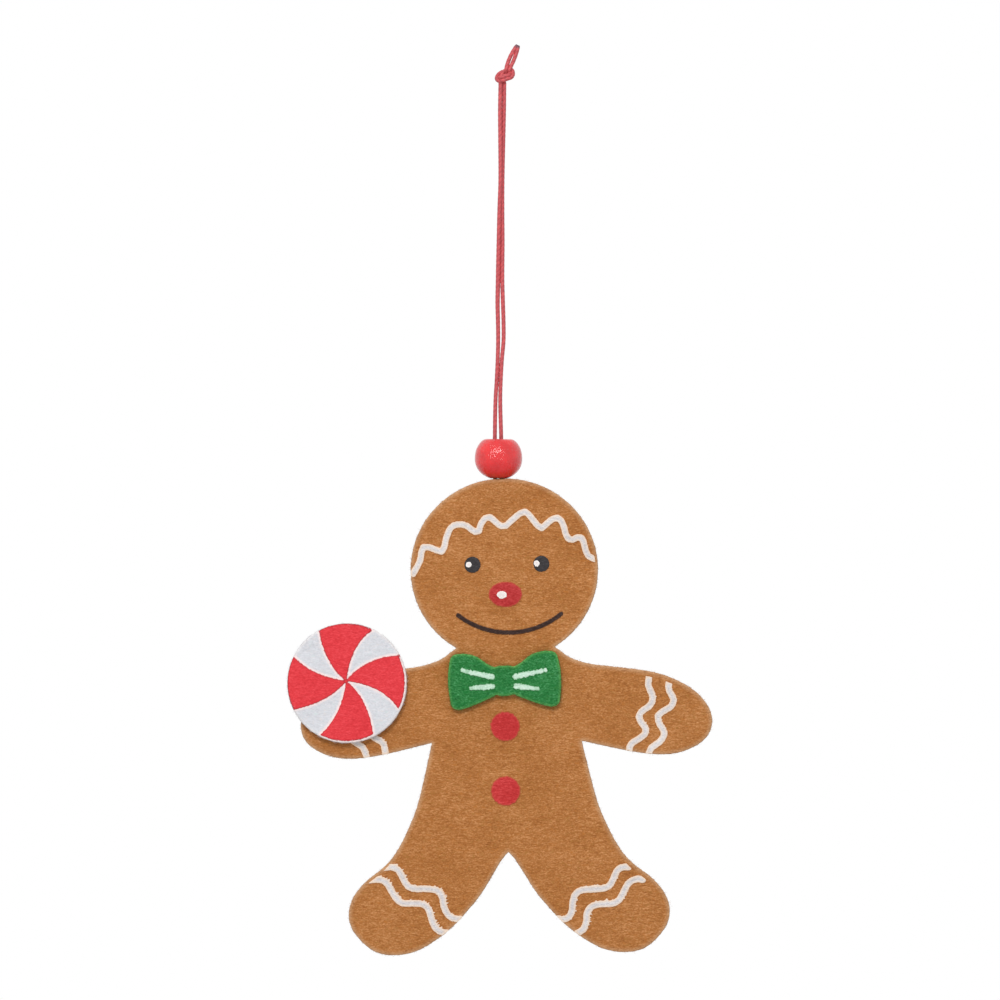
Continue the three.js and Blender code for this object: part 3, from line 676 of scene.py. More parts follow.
def loose_fibres(roots, normals, count, long, thick, lift, seed):
    """Loose fibres as thin three-sided tubes. Each starts in the surface and follows
    root + L (t d + b t (1 - t) s) + h n with h = lift L (4 t (1 - t) or t): d is a random way in
    the surface, mostly level, s is square to it and n is the surface's normal. Half of them
    arch back into the felt and half stand free."""
    rng = np.random.default_rng([SEED, seed])
    pick = rng.integers(0, len(roots), count)
    root, normal = roots[pick], normals[pick]
    way = rng.normal(size=(count, 3)) * (1.6, 1, 0.8)
    way = unit(way - (way * normal).sum(1, keepdims=True) * normal)
    side = np.cross(normal, way)
    length = long * rng.uniform(0.5, 1.5, (count, 1, 1))
    bend = rng.normal(0, 0.5, (count, 1, 1))
    up = lift * rng.uniform(0.3, 1.6, (count, 1, 1))
    t = np.linspace(0, 1, FIBRE_RINGS)[None, :, None]
    free = rng.random((count, 1, 1)) < 0.5
    rise = np.where(free, t, 4 * t * (1 - t))
    root = root - FIBRE_ROOT * normal
    line = root[:, None] + length * (
        t * way[:, None] + bend * t * (1 - t) * side[:, None] + up * rise * normal[:, None]
    )
    angle = turns(FIBRE_SIDES)
    width = thick / 2 * (1 - 0.45 * t[..., None])
    rings = line[:, :, None] + width * (
        np.cos(angle)[None, None, :, None] * side[:, None, None]
        + np.sin(angle)[None, None, :, None] * normal[:, None, None]
    )
    size = FIBRE_RINGS * FIBRE_SIDES
    base = np.arange(count)[:, None, None] * size
    quads = (base + band(FIBRE_RINGS, FIBRE_SIDES)[:, ::-1]).reshape(-1, 4)
    caps = (base + [[2, 1, 0], [size - 3, size - 2, size - 1]]).reshape(-1, 3)
    return rings.reshape(-1, 3), quads.tolist() + caps.tolist()


def put(name, data):
    """A new object in the scene that shows this data."""
    thing = bpy.data.objects.new(name, data)
    bpy.context.scene.collection.objects.link(thing)
    return thing


def place(name, points, faces, body, slot, nodes, material, **marks):
    """Puts worked-out points and faces into a new smooth mesh object, with a float attribute for
    each mark, gives it its material, ties it to its body and hides its CAD nodes."""
    mesh = bpy.data.meshes.new(name)
    mesh.from_pydata(points.tolist(), [], faces)
    mesh.polygons.foreach_set("use_smooth", np.ones(len(mesh.polygons), bool))
    for mark, values in marks.items():
        layer = mesh.attributes.new(mark, "FLOAT", "POINT")
        layer.data.foreach_set("value", np.asarray(values, np.float32))
    mesh.update()
    if mesh.validate():
        raise RuntimeError(f"{name} has faces that don't hold together")
    mesh.materials.append(material)
    piece = put(name, mesh)
    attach(piece, body)
    if nodes:
        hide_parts(*nodes)
    return piece


def leaned(points, lean=CORD_LEAN):
    """Points turned about the hang point by a lean, which carries what hangs there to the left."""
    cos, sin = np.cos(lean), np.sin(lean)
    x, y, z = points.T
    return np.stack([x * cos + z * sin, y, z * cos - x * sin], -1)


# Materials


def linear(colour):
    """A written colour as the light it stands for."""
    c = np.array(colour[:3])
    return (*np.where(c <= 0.04045, c / 12.92, ((c + 0.055) / 1.055) ** 2.4).tolist(), 1)


def shifted(colour, gain, warm=0.0):
    """A written colour made lighter or darker by a gain, and warmer or cooler."""
    c = np.array(colour[:3]) * gain + np.array([warm, 0, -warm])
    return tuple(np.clip(c, 0, 1))


def lifted(colour, by):
    """A written colour with the same amount of grey added to, or taken from, each part."""
    return tuple(np.clip(np.array(colour[:3]) + by, 0, 1))


class Paintbox:
    """Builds the nodes of one new material or world from left to right."""

    def __init__(self, owner):
        owner.use_nodes = True
        self.tree = owner.node_tree

    def feed(self, node, inputs):
        """Links each named input of a node to a socket, or gives it a value."""
        for name, value in inputs.items():
            if isinstance(value, bpy.types.NodeSocket):
                self.tree.links.new(value, node.inputs[name])
            else:
                node.inputs[name].default_value = value

    def add(self, kind, inputs=(), **fields):
        """A new node's outputs."""
        node = self.tree.nodes.new(kind)
        for field, value in fields.items():
            setattr(node, field, value)
        self.feed(node, dict(inputs))
        return node.outputs

    def stretched(self, scale, turn=0.0):
        """The piece's own coordinates, turned about Y and stretched."""
        where = self.add("ShaderNodeTexCoord")["Object"]
        return self.add(
            "ShaderNodeMapping", {"Vector": where, "Scale": scale, "Rotation": (0, turn, 0)}
        )["Vector"]

    def noise(self, scale, size, detail=2.0, rough=0.5, bend=0.0, turn=0.0):
        """Noise whose features are about size long, stretched by scale."""
        return self.add("ShaderNodeTexNoise", {
            "Vector": self.stretched(scale, turn), "Scale": 1 / size, "Detail": detail,
            "Roughness": rough, "Distortion": bend,
        })["Fac"]

    def maths(self, kind, *values):
        """One sum worked on sockets or numbers."""
        return self.add("ShaderNodeMath", enumerate(values), operation=kind)["Value"]

    def ramp(self, factor, stops):
        """Colours between stops, each a place from 0 to 1 and a written colour."""
        outputs = self.add("ShaderNodeValToRGB", {"Fac": factor})
        ramp = outputs[0].node.color_ramp
        ramp.elements.remove(ramp.elements[1])
        for i, (at, colour) in enumerate(stops):
            stop = ramp.elements[0] if i == 0 else ramp.elements.new(at)
            stop.position = at
            stop.color = linear(colour)
        return outputs["Color"]

    def blend(self, factor, a, b):
        """From colour a, where the factor is 0, to colour b, where it is 1."""
        return self.add("ShaderNodeMix", {0: factor, 6: a, 7: b}, data_type="RGBA")[2]

    def spread(self, value, low, high):
        """Value from low to high, as 0 to 1, clamped."""
        return self.add(
            "ShaderNodeMapRange", {"Value": value, "From Min": low, "From Max": high}
        )["Result"]

    def mark(self, name):
        """A mark on the piece's points."""
        return self.add("ShaderNodeAttribute", attribute_name=name)["Fac"]

    def shade(self, **values):
        """Feeds the surface: Base_Color stands for its input Base Color, and so on."""
        shader = self.tree.nodes["Principled BSDF"]
        self.feed(shader, {name.replace("_", " "): value for name, value in values.items()})

    def bump(self, height, distance, strength):
        """Makes the surface look raised by a height times a distance."""
        self.shade(Normal=self.add(
            "ShaderNodeBump", {"Height": height, "Distance": distance, "Strength": strength}
        )["Normal"])


def kept(name, paint):
    """The look of that name, painted once. The frame has materials of its own by other names."""
    name += "_look"
    look = bpy.data.materials.get(name)
    if look is None:
        look = bpy.data.materials.new(name)
        paint(Paintbox(look))
    return look


def felt_grain(box, level):
    """The felt's fibre pattern, from -1/2 to 1/2 or so: short level fibres over longer wavy
    ones that cross them, and slow mottling, each noise n with a weight w adding w (n - 1/2)."""
    short, streak, cross, slow = (
        box.maths("MULTIPLY_ADD", noise, weight, -weight / 2)
        for noise, weight in (
            (box.noise((0.6, 1, 1.15), 0.3 * MM, 2.5, 0.6, 0.4), 0.62),
            (box.noise((0.22 if level else 0.5, 0.6, 1), 0.34 * MM, 2, 0.55, 1.1, 0.12), 0.5),
            (box.noise((0.3, 0.6, 1), 0.4 * MM, 1.5, 0.5, 1.4, -0.5), 0.3),
            (box.noise((0.7, 1, 1), 7 * MM, 2, 0.5), 0.22),
        )
    )
    return box.maths("ADD", box.maths("ADD", short, streak), box.maths("ADD", cross, slow))


def grain_tone(box, grain, colour, contrast):
    """A colour that the grain makes darker in its hollows and lighter on its fibres."""
    return box.ramp(box.maths("ADD", grain, 0.5), [
        (0.5 + 0.4 * side, lifted(colour, 0.4 * side * contrast)) for side in (-1, 0, 1)
    ])


def make_felt(colour, contrast, level, rim, rim_width, stains=()):
    """A painter of felt: its grain runs from darker to lighter than its colour, its rim is painted
    in a lighter colour as a painted highlight where the fuzzy cut edge catches light, marks on the
    piece may stain it, and a soft sheen stands for the fibres that are too fine to model."""

    def paint(box):
        grain = felt_grain(box, level)
        tone = grain_tone(box, grain, colour, contrast)
        heather = box.noise((0.5, 1, 1.2), 0.55 * MM, 2, 0.6, 0.8)
        warm, cool = (linear(np.array(colour) + d) for d in HEATHER_TINTS)
        tone = box.blend(box.spread(heather, 0.56, 0.75), tone, warm)
        tone = box.blend(box.spread(heather, 0.44, 0.25), tone, cool)
        # Painted highlight: the rim's lighter colour stands for light caught by the fuzzy cut edge,
        # broken into patches by the grain.
        edge = box.maths("POWER", box.spread(box.mark("inside"), rim_width, 0.0), 1.6)
        rim_highlight = box.maths("MULTIPLY", edge, box.spread(grain, -0.45, 0.2))
        tone = box.blend(rim_highlight, tone, linear(rim))
        for mark, stain in stains:
            tone = box.blend(box.mark(mark), tone, linear(stain))
        box.bump(grain, 0.12 * MM, 0.55)
        box.shade(
            Base_Color=tone, Roughness=0.92, Specular_IOR_Level=0.18, Sheen_Weight=0.12,
            Sheen_Roughness=0.6, Sheen_Tint=linear(shifted(colour, 1.25)),
        )

    return paint


def make_ink(colour, contrast, rim=None, rim_width=0.0, rough=0.75, show=0.4):
    """A painter of ink or paint pressed into felt: the felt's grain shows in its tone and its
    relief, and its edge may be of another tone."""

    def paint(box):
        grain = felt_grain(box, True)
        tone = grain_tone(box, grain, colour, contrast)
        if rim:
            edge = box.spread(box.mark("inside"), rim_width, 0.0)
            tone = box.blend(edge, tone, linear(rim))
        box.bump(grain, 0.1 * MM, show)
        box.shade(Base_Color=tone, Roughness=rough, Specular_IOR_Level=0.25)

    return paint


def make_red(colour):
    """A painter of red ink that fades into the felt round it."""
    return make_ink(colour, 0.45, written(192, 84, 62), 0.34 * MM)


def paint_cord(box):
    """Waxed cord: painted shade darkens it in the grooves between its plies, and it is lighter where
    the wax has worn.
    """
    colour = bpy.context.scene.felt_ornament.cord.colour
    groove = box.mark("groove")
    wear = box.noise((1, 1, 0.35), 0.5 * MM, 3, 0.6, 0.6)
    hair = box.noise((1, 1, 0.2), 0.12 * MM, 2, 0.6, 0.3)
    tone = box.ramp(wear, [
        (0.3, shifted(colour, 0.9)), (0.5, colour), (0.72, shifted(colour, 1.1, 0.02)),
    ])
    # Painted shade: the tone darkens in the grooves between the plies.
    tone = box.blend(box.spread(groove, 0.45, 1.0), tone, linear(shifted(colour, 0.78)))
    tone = box.blend(box.mark("cut"), tone, linear(written(108, 72, 84)))
    box.bump(box.maths("ADD", hair, box.maths("MULTIPLY", groove, -0.6)), 0.06 * MM, 0.5)
    box.shade(
        Base_Color=tone, Roughness=0.55, Specular_IOR_Level=0.35, Coat_Weight=0.12,
        Coat_Roughness=0.35,
    )


def paint_lacquer(box):
    """Glossy lacquer on turned wood: slow patches of tone, a faint orange-peel skin that breaks up
    its highlight, and a darker tone towards and inside the bore."""
    bead = bpy.context.scene.felt_ornament.bead
    colour = bead.colour
    cloud = box.noise((1, 1, 1), 3.2 * MM, 3, 0.55, 0.4)
    speck = box.noise((1, 1, 1), 0.7 * MM, 3, 0.65)
    ripple = box.noise((1.3, 1.3, 1), 0.3 * MM, 0.5, 0.5, 0.3)
    tone = box.ramp(cloud, [
        (0.3, shifted(colour, 0.93)), (0.55, colour), (0.8, shifted(colour, 1.06, 0.01)),
    ])
    tone = box.blend(box.spread(speck, 0.66, 0.8), tone, linear(shifted(colour, 1.1, -0.03)))
    # The tone darkens towards and inside the bore.
    near_bore = box.spread(box.mark("bore"), 1.6 * MM, 0.0)
    tone = box.blend(near_bore, tone, linear(shifted(colour, 0.45)))
    box.bump(box.maths("ADD", box.maths("MULTIPLY", cloud, 0.8), ripple), 0.13 * MM, 1.0)
    box.shade(
        Base_Color=tone, Roughness=bead.roughness, Specular_IOR_Level=0.6, Coat_Weight=0.15,
        Coat_Roughness=0.05,
    )


def paint_glue(box):
    """Set hot-melt glue: cloudy, waxy and a little see-through."""
    cloud = box.noise((1, 1, 1), 1.6 * MM, 3, 0.6, 0.5)
    tone = box.ramp(cloud, [(0.3, written(214, 205, 180)), (0.7, written(238, 232, 214))])
    box.bump(cloud, 0.1 * MM, 0.4)
    box.shade(
        Base_Color=tone, Roughness=0.42, Subsurface_Weight=0.2, Subsurface_Scale=1 * MM
    )


def paint_floor(box):
    """A pale floor that keeps the object's shadow: off-white with a faint grain as the camera
    sees it, fading into the white background towards its rim, and greyer in the light that it
    sends back."""
    grain = box.noise((1, 1, 1), 12 * MM, 4, 0.6)
    tone = box.ramp(grain, [(0.3, written(251, 251, 251)), (0.7, written(255, 255, 255))])
    seen = box.add("ShaderNodeLightPath")["Is Camera Ray"]
    tone = box.blend(seen, linear(written(216, 216, 216)), tone)
    box.shade(Base_Color=tone, Roughness=0.9, Specular_IOR_Level=0.1)
    flat = box.stretched((1, 1, 0))
    far = box.add("ShaderNodeVectorMath", {0: flat}, operation="LENGTH")["Value"]
    fade = box.maths("MULTIPLY", box.spread(far, 0.35 * FLOOR_RADIUS, 0.97 * FLOOR_RADIUS), seen)
    solid = box.tree.nodes["Principled BSDF"].outputs["BSDF"]
    clear = box.add("ShaderNodeBsdfTransparent")["BSDF"]
    mixed = box.add("ShaderNodeMixShader", {0: fade, 1: solid, 2: clear})["Shader"]
    box.feed(box.tree.nodes["Material Output"], {"Surface": mixed})


def room(strength):
    """A world of even light from all round, which looks plain white to the camera and in
    glossy or clear surfaces."""
    world = bpy.data.worlds.new("studio")
    box = Paintbox(world)
    box.tree.nodes.clear()
    ray = box.add("ShaderNodeLightPath")
    mirrored = box.maths("MAXIMUM", ray["Is Glossy Ray"], ray["Is Transmission Ray"])
    seen = box.maths("MAXIMUM", ray["Is Camera Ray"], mirrored)
    lit, white = (
        box.add("ShaderNodeBackground", {"Color": WHITE, "Strength": value})["Background"]
        for value in (strength, 1)
    )
    mixed = box.add("ShaderNodeMixShader", {0: seen, 1: lit, 2: white})["Shader"]
    box.add("ShaderNodeOutputWorld", {"Surface": mixed})
    return world


# Stage


def aim_camera(stage):
    """A camera straight in front of the ornament. Its lens is as long as the film is wide,
    times the distance over the width in view."""
    camera = put("camera", bpy.data.cameras.new("camera"))
    camera.data.sensor_width = FILM_WIDTH
    camera.data.lens = FILM_WIDTH * stage.view_distance / stage.view_width
    camera.data.clip_start = CLIP_NEAR
    camera.data.clip_end = CLIP_FAR
    camera.location = VIEW_MIDDLE + Vector((0, -stage.view_distance, 0))
    camera.rotation_euler = (np.pi / 2, 0, 0)
    return camera


def hang_lamps(stage):
    """Round lamps that face the ornament. Only the key lamp is mirrored in the lacquer."""
    powers = (stage.key_power, stage.key_power * TOP_POWER_SHARE, stage.back_power)
    for (name, away, size), power in zip(LAMPS, powers):
        lamp = bpy.data.lights.new(name, "AREA")
        lamp.energy = power
        lamp.size = size
        lamp.shape = "DISK"
        holder = put(name, lamp)
        holder.location = Vector(away) + VIEW_MIDDLE
        holder.rotation_euler = (-Vector(away)).to_track_quat("-Z", "Y").to_euler()
        holder.visible_glossy = name == KEY_LAMP


def lay_floor(drop):
    """A round, level floor under the ornament, as one face with even steps round its rim."""
    angle = turns(FLOOR_SIDES)
    rim = (FLOOR_RADIUS * np.cos(angle), FLOOR_RADIUS * np.sin(angle), 0 * angle - drop)
    mesh = bpy.data.meshes.new("floor")
    mesh.from_pydata(np.stack(rim, -1).tolist(), [], [list(range(FLOOR_SIDES))])
    mesh.materials.append(kept("pale_floor", paint_floor))
    put("floor", mesh)


class ORNAMENT_OT_stage(bpy.types.Operator):
    """Set up the camera, lamps, even room light and floor"""

    bl_idname = "ornament.stage"
    bl_label = "Build Stage"
    bl_options = {"REGISTER", "UNDO"}

    def execute(self, context):
        scene = context.scene
        stage = scene.felt_ornament.stage
        scene.camera = aim_camera(stage)
        hang_lamps(stage)
        scene.world = room(stage.room_light)
        scene.view_settings.view_transform = "Standard"
        lay_floor(stage.floor_drop)
        return {"FINISHED"}


# Cord


def tie_knot(material, shape):
    """The knot and its two cut ends: two cords side by side along one way. At a share t of the
    tail they run p + b sin(180 t) to either side of the way, where the pitch p shrinks evenly
    to where they meet and b is each end's own bulge."""
    way = curve_through(np.array(KNOT_ROUTE_SHARES) * ROUTE_UNIT, KNOT_FINE)
    way = even_steps(way, KNOT_STEP)
    tangent = np.gradient(way, axis=0)
    across = unit(np.stack([tangent[:, 2], 0 * tangent[:, 0], -tangent[:, 0]], -1))
    along = np.linspace(0, 1, len(way))
    tail = np.clip((along - TAIL_START_SHARE) / (1 - TAIL_START_SHARE), 0, 1)
    pitch = KNOT_PITCH_SHARE + (TAIL_MEET_SHARE - KNOT_PITCH_SHARE) * tail
    points, faces, grooves, cuts = [], [], [], []
    start = 0
    for side, bulge in zip((-1, 1), TAIL_BULGE_SHARES):
        aside = side * ROUTE_UNIT * (pitch + bulge * np.sin(np.pi * tail))
        line = way + aside[:, None] * across
        made, made_faces, groove, left = twisted_tube(
            line, *shape, round_ends=(True, False), taper=TAIL_TAPER
        )
        points.append(made)
        faces += [[start + i for i in f] for f in made_faces]
        grooves.append(groove)
        cuts.append(np.clip(1.5 * (1 - left / CUT_REACH), 0, 1))
        start += len(made)
    points = np.vstack(points)
    points[:, 2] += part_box("cord_knot")[0][2] - points[:, 2].min()
    return place(
        "cord_knot_tied", points, faces, "hanger", "red_cord", ["cord_knot"], material,
        groove=np.concatenate(grooves), cut=np.concatenate(cuts),
    )


def run_strands(material, shape):
    """The two strands from the head up into the knot. Each is thicker by a share
    s exp(-((d - m) / w)^2) at a share d of the way down."""
    foot = LOOP_DROP - BIGHT_RISE - STRAND_GAP
    for name, shares, side, swell in zip(
        ("strand_left", "strand_right"), STRAND_SHARES, (-1, 1), SWELL_SHARES
    ):
        down, x, y = np.array(shares).T
        route = np.stack([x * ROUTE_UNIT, y * ROUTE_UNIT, -down * LOOP_DROP], -1)
        route = np.vstack([
            (side * SPREAD_SHARE * ROUTE_UNIT, 0, -foot), route[::-1],
            route[0] + (0, 0, STRAND_TOP_RISE),
        ])
        line = even_steps(leaned(curve_through(route, CORD_FINE)), STRAND_STEP)
        down = (-line[:, 2] / LOOP_DROP - SWELL_MIDDLE_SHARE) / SWELL_SPAN_SHARE
        points, faces, groove, left = twisted_tube(
            line, *shape, round_ends=(False, True), swell=1 + swell * np.exp(-(down**2))
        )
        piece = place(
            name + "_twisted", points, faces, "cord_loop", "red_cord", [name], material,
            groove=groove, cut=0 * groove,
        )


def trap_bight(material, shape):
    """The cord's bight in the head: down from one strand, round a narrow eye and up again."""
    spread = SPREAD_SHARE * ROUTE_UNIT
    eye = BIGHT_EYE / 2
    half = np.array([
        (spread, 0, BIGHT_RISE), (spread, 0, -BIGHT_NECK), (eye, 0, eye - BIGHT_DEEP),
    ])
    route = np.vstack([half, (0, 0, -BIGHT_DEEP), half[::-1] * (-1, 1, 1)])
    line = even_steps(curve_through(route, CORD_FINE), BIGHT_STEP)
    head = leaned(np.array([[0, 0, -LOOP_DROP]]))
    points, faces, groove, _ = twisted_tube(leaned(line, -FIGURE_LEAN) + head, *shape)
    place(
        "cord_bight_trapped", points, faces, "figure", "red_cord", ["cord_bight"], material,
        groove=groove, cut=0 * groove,
    )


class ORNAMENT_OT_cord(bpy.types.Operator):
    """Build the cord: its knot with two cut ends, its two strands and its bight in the head"""

    bl_idname = "ornament.cord"
    bl_label = "Build Cord"
    bl_options = {"REGISTER", "UNDO"}

    def execute(self, context):
        cord = context.scene.felt_ornament.cord
        material = kept("waxed_cord", paint_cord)
        shape = (cord.diameter / 2, cord.lay_length, cord.ply_depth)
        knot = tie_knot(material, shape)
        run_strands(material, shape)
        trap_bight(material, shape)
        return {"FINISHED"}


# Bead


def bead_profile(rounding):
    """The bead's section, as radius and height. Its outside is (r / R)^p + (z / H)^p = 1, with
    one H and p above its waist and others below; its flat top and its bore close it. Its
    upper outer edge is worn round, and its foot settles in step with the way down."""
    top = np.arcsin(BEAD_SHOULDER / BEAD_UPPER)
    foot = -np.arccos(BEAD_BORE / BEAD_RADIUS)
    high = np.sin(np.linspace(foot, top, BEAD_ARC_POINTS))
    tall = np.where(high > 0, BEAD_UPPER, BEAD_LOWER)
    power = np.where(high > 0, BEAD_SQUARENESS[1], BEAD_SQUARENESS[0])
    wide = BEAD_RADIUS * (1 - np.abs(high) ** power) ** (1 / power)
    outer = np.stack([wide, tall * high], -1)
    corners = np.vstack([outer, [(BEAD_BORE, BEAD_SHOULDER), (BEAD_BORE, outer[0, 1])]])
    profile = even_steps(corners, BEAD_STEP, True)
    away = np.clip((profile[:, 0] - BEAD_BORE) / BEAD_LIP, 0, 1)[:, None]
    upper = np.clip(profile[:, 1] / BEAD_SHOULDER, 0, 1)[:, None]
    share = BEAD_WEAR_LEAST + (1 - BEAD_WEAR_LEAST) * away * upper
    profile = share * worn(profile, rounding / 2) + (1 - share) * profile
    profile[:, 1] -= BEAD_SETTLE * np.clip(-profile[:, 1] / BEAD_LOWER, 0, 1)
    return profile


class ORNAMENT_OT_bead(bpy.types.Operator):
    """Turn the lacquered wooden bead with its bore and its flat top"""

    bl_idname = "ornament.bead"
    bl_label = "Build Bead"
    bl_options = {"REGISTER", "UNDO"}

    def execute(self, context):
        profile = bead_profile(context.scene.felt_ornament.bead.rounding)
        points, faces = lathe(profile, BEAD_SIDES)
        rise = LOOP_DROP - STRAND_GAP - BEAD_LOWER * np.sqrt(1 - (BEAD_BORE / BEAD_RADIUS) ** 2)
        place(
            "wooden_bead_turned", leaned(points - (0, 0, rise)), faces, "bead", "red_lacquer",
            ["wooden_bead"], kept("red_lacquer_gloss", paint_lacquer),
            bore=np.repeat(profile[:, 0] - BEAD_BORE, BEAD_SIDES),
        )
        return {"FINISHED"}


# Felt and ink


def as_cut(loop):
    """An outline left as it is."""
    return loop


def loop_area(loop):
    """The area inside a closed loop, by the shoelace rule."""
    return abs(cross(loop, np.roll(loop, -1, 0)).sum()) / 2


def felt_piece(
    node, material, spacings, fibres, seed, rests_on, redraw=as_cut, back_fine=False,
    faces_shown=True, **marks,
):
    """One felt piece cut to its CAD node's outline. Its loose fibres root in its rim and, where they
    are to show, in its outer face, to within a few naps of its level. Each mark is worked out from
    its points by a function."""
    felt = bpy.context.scene.felt_ornament.felt
    low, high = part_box(node)
    spacing, step = spacings
    loop = redraw(node_outline(node, step))
    points, faces, inside = cut_slab(
        loop, low[1], high[1], felt.rim, spacing, seed, rough=FELT_ROUGH, back_fine=back_fine
    )
    piece = place(
        node + "_cut", points, faces, "figure", FELT_SLOTS[node], [node], material,
        inside=inside, **{mark: make(points) for mark, make in marks.items()},
    )
    spots, normals = (point_values(piece.data, field) for field in ("co", "normal"))
    shown = inside < felt.rim / 2
    if faces_shown:
        outer = high[1] if back_fine else low[1]
        shown |= np.abs(spots[:, 1] - outer) < FIBRE_NAPS * felt.nap
    points, faces = loose_fibres(
        spots[shown], normals[shown], fibres, FIBRE_LENGTH, felt.fibre, FIBRE_LIFT, seed + 50
    )
    hair = place(
        node + "_fuzz", points, faces, "figure", FELT_SLOTS[node], [], material,
        inside=np.full(len(points), FIBRE_INSIDE),
        **{mark: np.zeros(len(points)) for mark in marks},
    )
    wide, tall = np.ptp(loop, axis=0)
    float(loop_area(loop))


def glue_node(node):
    """Gives a CAD node that stays the look of set glue."""
    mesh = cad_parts[node].data
    mesh.materials.clear()
    mesh.materials.append(kept("set_glue", paint_glue))


def printed(node, material, slot, seed, edge="plain", fray=None, redraw=as_cut):
    """One printed shape with a ragged edge, a little sunk in the felt behind it."""
    low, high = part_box(node)
    step, rough, grown = INK_EDGES[edge]
    loop = redraw(node_outline(node, step))
    loop = loop + grown * outward(loop)
    rim = INK_RIM_SHARE * (high[1] - low[1])
    points, faces, inside = cut_slab(
        loop, low[1], high[1] + INK_SUNK, rim, INK_SPACING, seed, fray=fray, rough=rough
    )
    place(node + "_inked", points, faces, "figure", slot, [node], material, inside=inside)


class ORNAMENT_OT_figure(bpy.types.Operator):
    """Cut the figure's two felt panels and set the glue between them"""

    bl_idname = "ornament.figure"
    bl_label = "Build Figure"
    bl_options = {"REGISTER", "UNDO"}

    def execute(self, context):
        felt = context.scene.felt_ornament.felt
        # The second colour is a painted highlight on the felt's rim, where the cut edge catches
        # light.
        material = kept("gingerbread_felt", make_felt(
            felt.gingerbread, 0.66, True, written(209, 170, 132), 1.3 * MM
        ))
        for node, rests_on, seed in (
            ("front_felt", "back_felt", 10), ("back_felt", "front_felt_cut", 20),
        ):
            felt_piece(
                node, material, FIGURE_SPACINGS, felt.fibre_count, seed, [rests_on],
                back_fine=node == "back_felt",
            )
        glue_node("bond_film")
        glue_node("anchor_dab")
        return {"FINISHED"}


class ORNAMENT_OT_face(bpy.types.Operator):
    """Print the eyes, nose and mouth"""

    bl_idname = "ornament.face"
    bl_label = "Build Face"
    bl_options = {"REGISTER", "UNDO"}

    def execute(self, context):
        ink = context.scene.felt_ornament.ink
        eye = kept("eye_ink", make_ink(ink.eye, 0.35, rough=0.6))
        mouth = kept("mouth_ink", make_ink(ink.mouth, 0.4, written(96, 64, 44), 0.2 * MM))
        red = kept("nose_ink", make_red(shifted(ink.red, 0.92)))
        glint = kept("glint_ink", make_ink(
            shifted(ink.icing, 1.06, 0.015), 0.35, written(250, 246, 242), 0.4 * MM
        ))
        printed("eye_left", eye, "dark_print", 101)
        printed("eye_right", eye, "dark_print", 103)
        printed("mouth", mouth, "dark_print", 105, "mouth")
        printed("nose", red, "red_print", 107, "nose")
        for i, node in enumerate(("eye_glint_left", "eye_glint_right", "nose_glint")):
            printed(node, glint, "icing_print", 111 + 3 * i, "glint")
        return {"FINISHED"}


def teeth(reach):
    """A maker of ragged edges with teeth along level fibres: the positive part of a jumble of
    waves that is short up and down, times how far the edge faces right and up, dying out
    over the last tenth of the stripe at both ends of its longest way."""

    def fray(solid, normal):
        jumble = crinkle(solid * FRAY_STRETCH, FRAY_WAVE, 7)
        facing = np.clip(normal @ FRAY_WAY, 0, 1)
        away = solid[0][:, [0, 2]] - solid[0][:, [0, 2]].mean(0)
        along = away @ np.linalg.eigh(away.T @ away)[1][:, -1]
        from_end = np.minimum(along - along.min(), along.max() - along) / np.ptp(along)
        fade = np.clip(10 * from_end, 0, 1)
        return reach * np.clip(jumble, 0, None) ** 1.2 * (facing * fade)[None]

    return fray


class ORNAMENT_OT_icing(bpy.types.Operator):
    """Print the icing along the brow and round the hands and feet"""

    bl_idname = "ornament.icing"
    bl_label = "Build Icing"
    bl_options = {"REGISTER", "UNDO"}

    def execute(self, context):
        ink = context.scene.felt_ornament.ink
        white = kept("icing_ink", make_ink(ink.icing, 0.5, written(243, 218, 194), 0.6 * MM))
        printed("hairline_icing", white, "icing_print", 120)
        for i, node in enumerate(STRIPE_NODES):
            reach = ink.fray if "foot" in node else HAND_FRAY_SHARE * ink.fray
            printed(node, white, "icing_print", 123 + 3 * i, fray=teeth(reach))
        return {"FINISHED"}


class ORNAMENT_OT_buttons(bpy.types.Operator):
    """Print the two buttons"""

    bl_idname = "ornament.buttons"
    bl_label = "Build Buttons"
    bl_options = {"REGISTER", "UNDO"}

    def execute(self, context):
        red = kept("button_ink", make_red(context.scene.felt_ornament.ink.red))
        printed("button_upper", red, "red_print", 161, "button")
        printed("button_lower", red, "red_print", 164, "button")
        return {"FINISHED"}


def refitted(degrees, share, shift):
    """A redrawer that shortens a stroke to a share of its length, turns it about its middle by
    some degrees against the clock as seen from the front, and shifts it by millimetres."""
    cos, sin = np.cos(np.radians(degrees)), np.sin(np.radians(degrees))

    def redraw(loop):
        middle = loop.mean(0)
        away = (loop - middle) * (share, 1)
        return middle + away @ np.array([[cos, sin], [-sin, cos]]) + np.array(shift) * MM

    return redraw


def trimmed(loop):
    """The bow tie's outline drawn in a little towards its top left."""
    corner = np.array([loop[:, 0].min(), loop[:, 1].max()])
    return corner + (loop - corner) * BOW_SHARES + (BOW_SHIFT, 0)


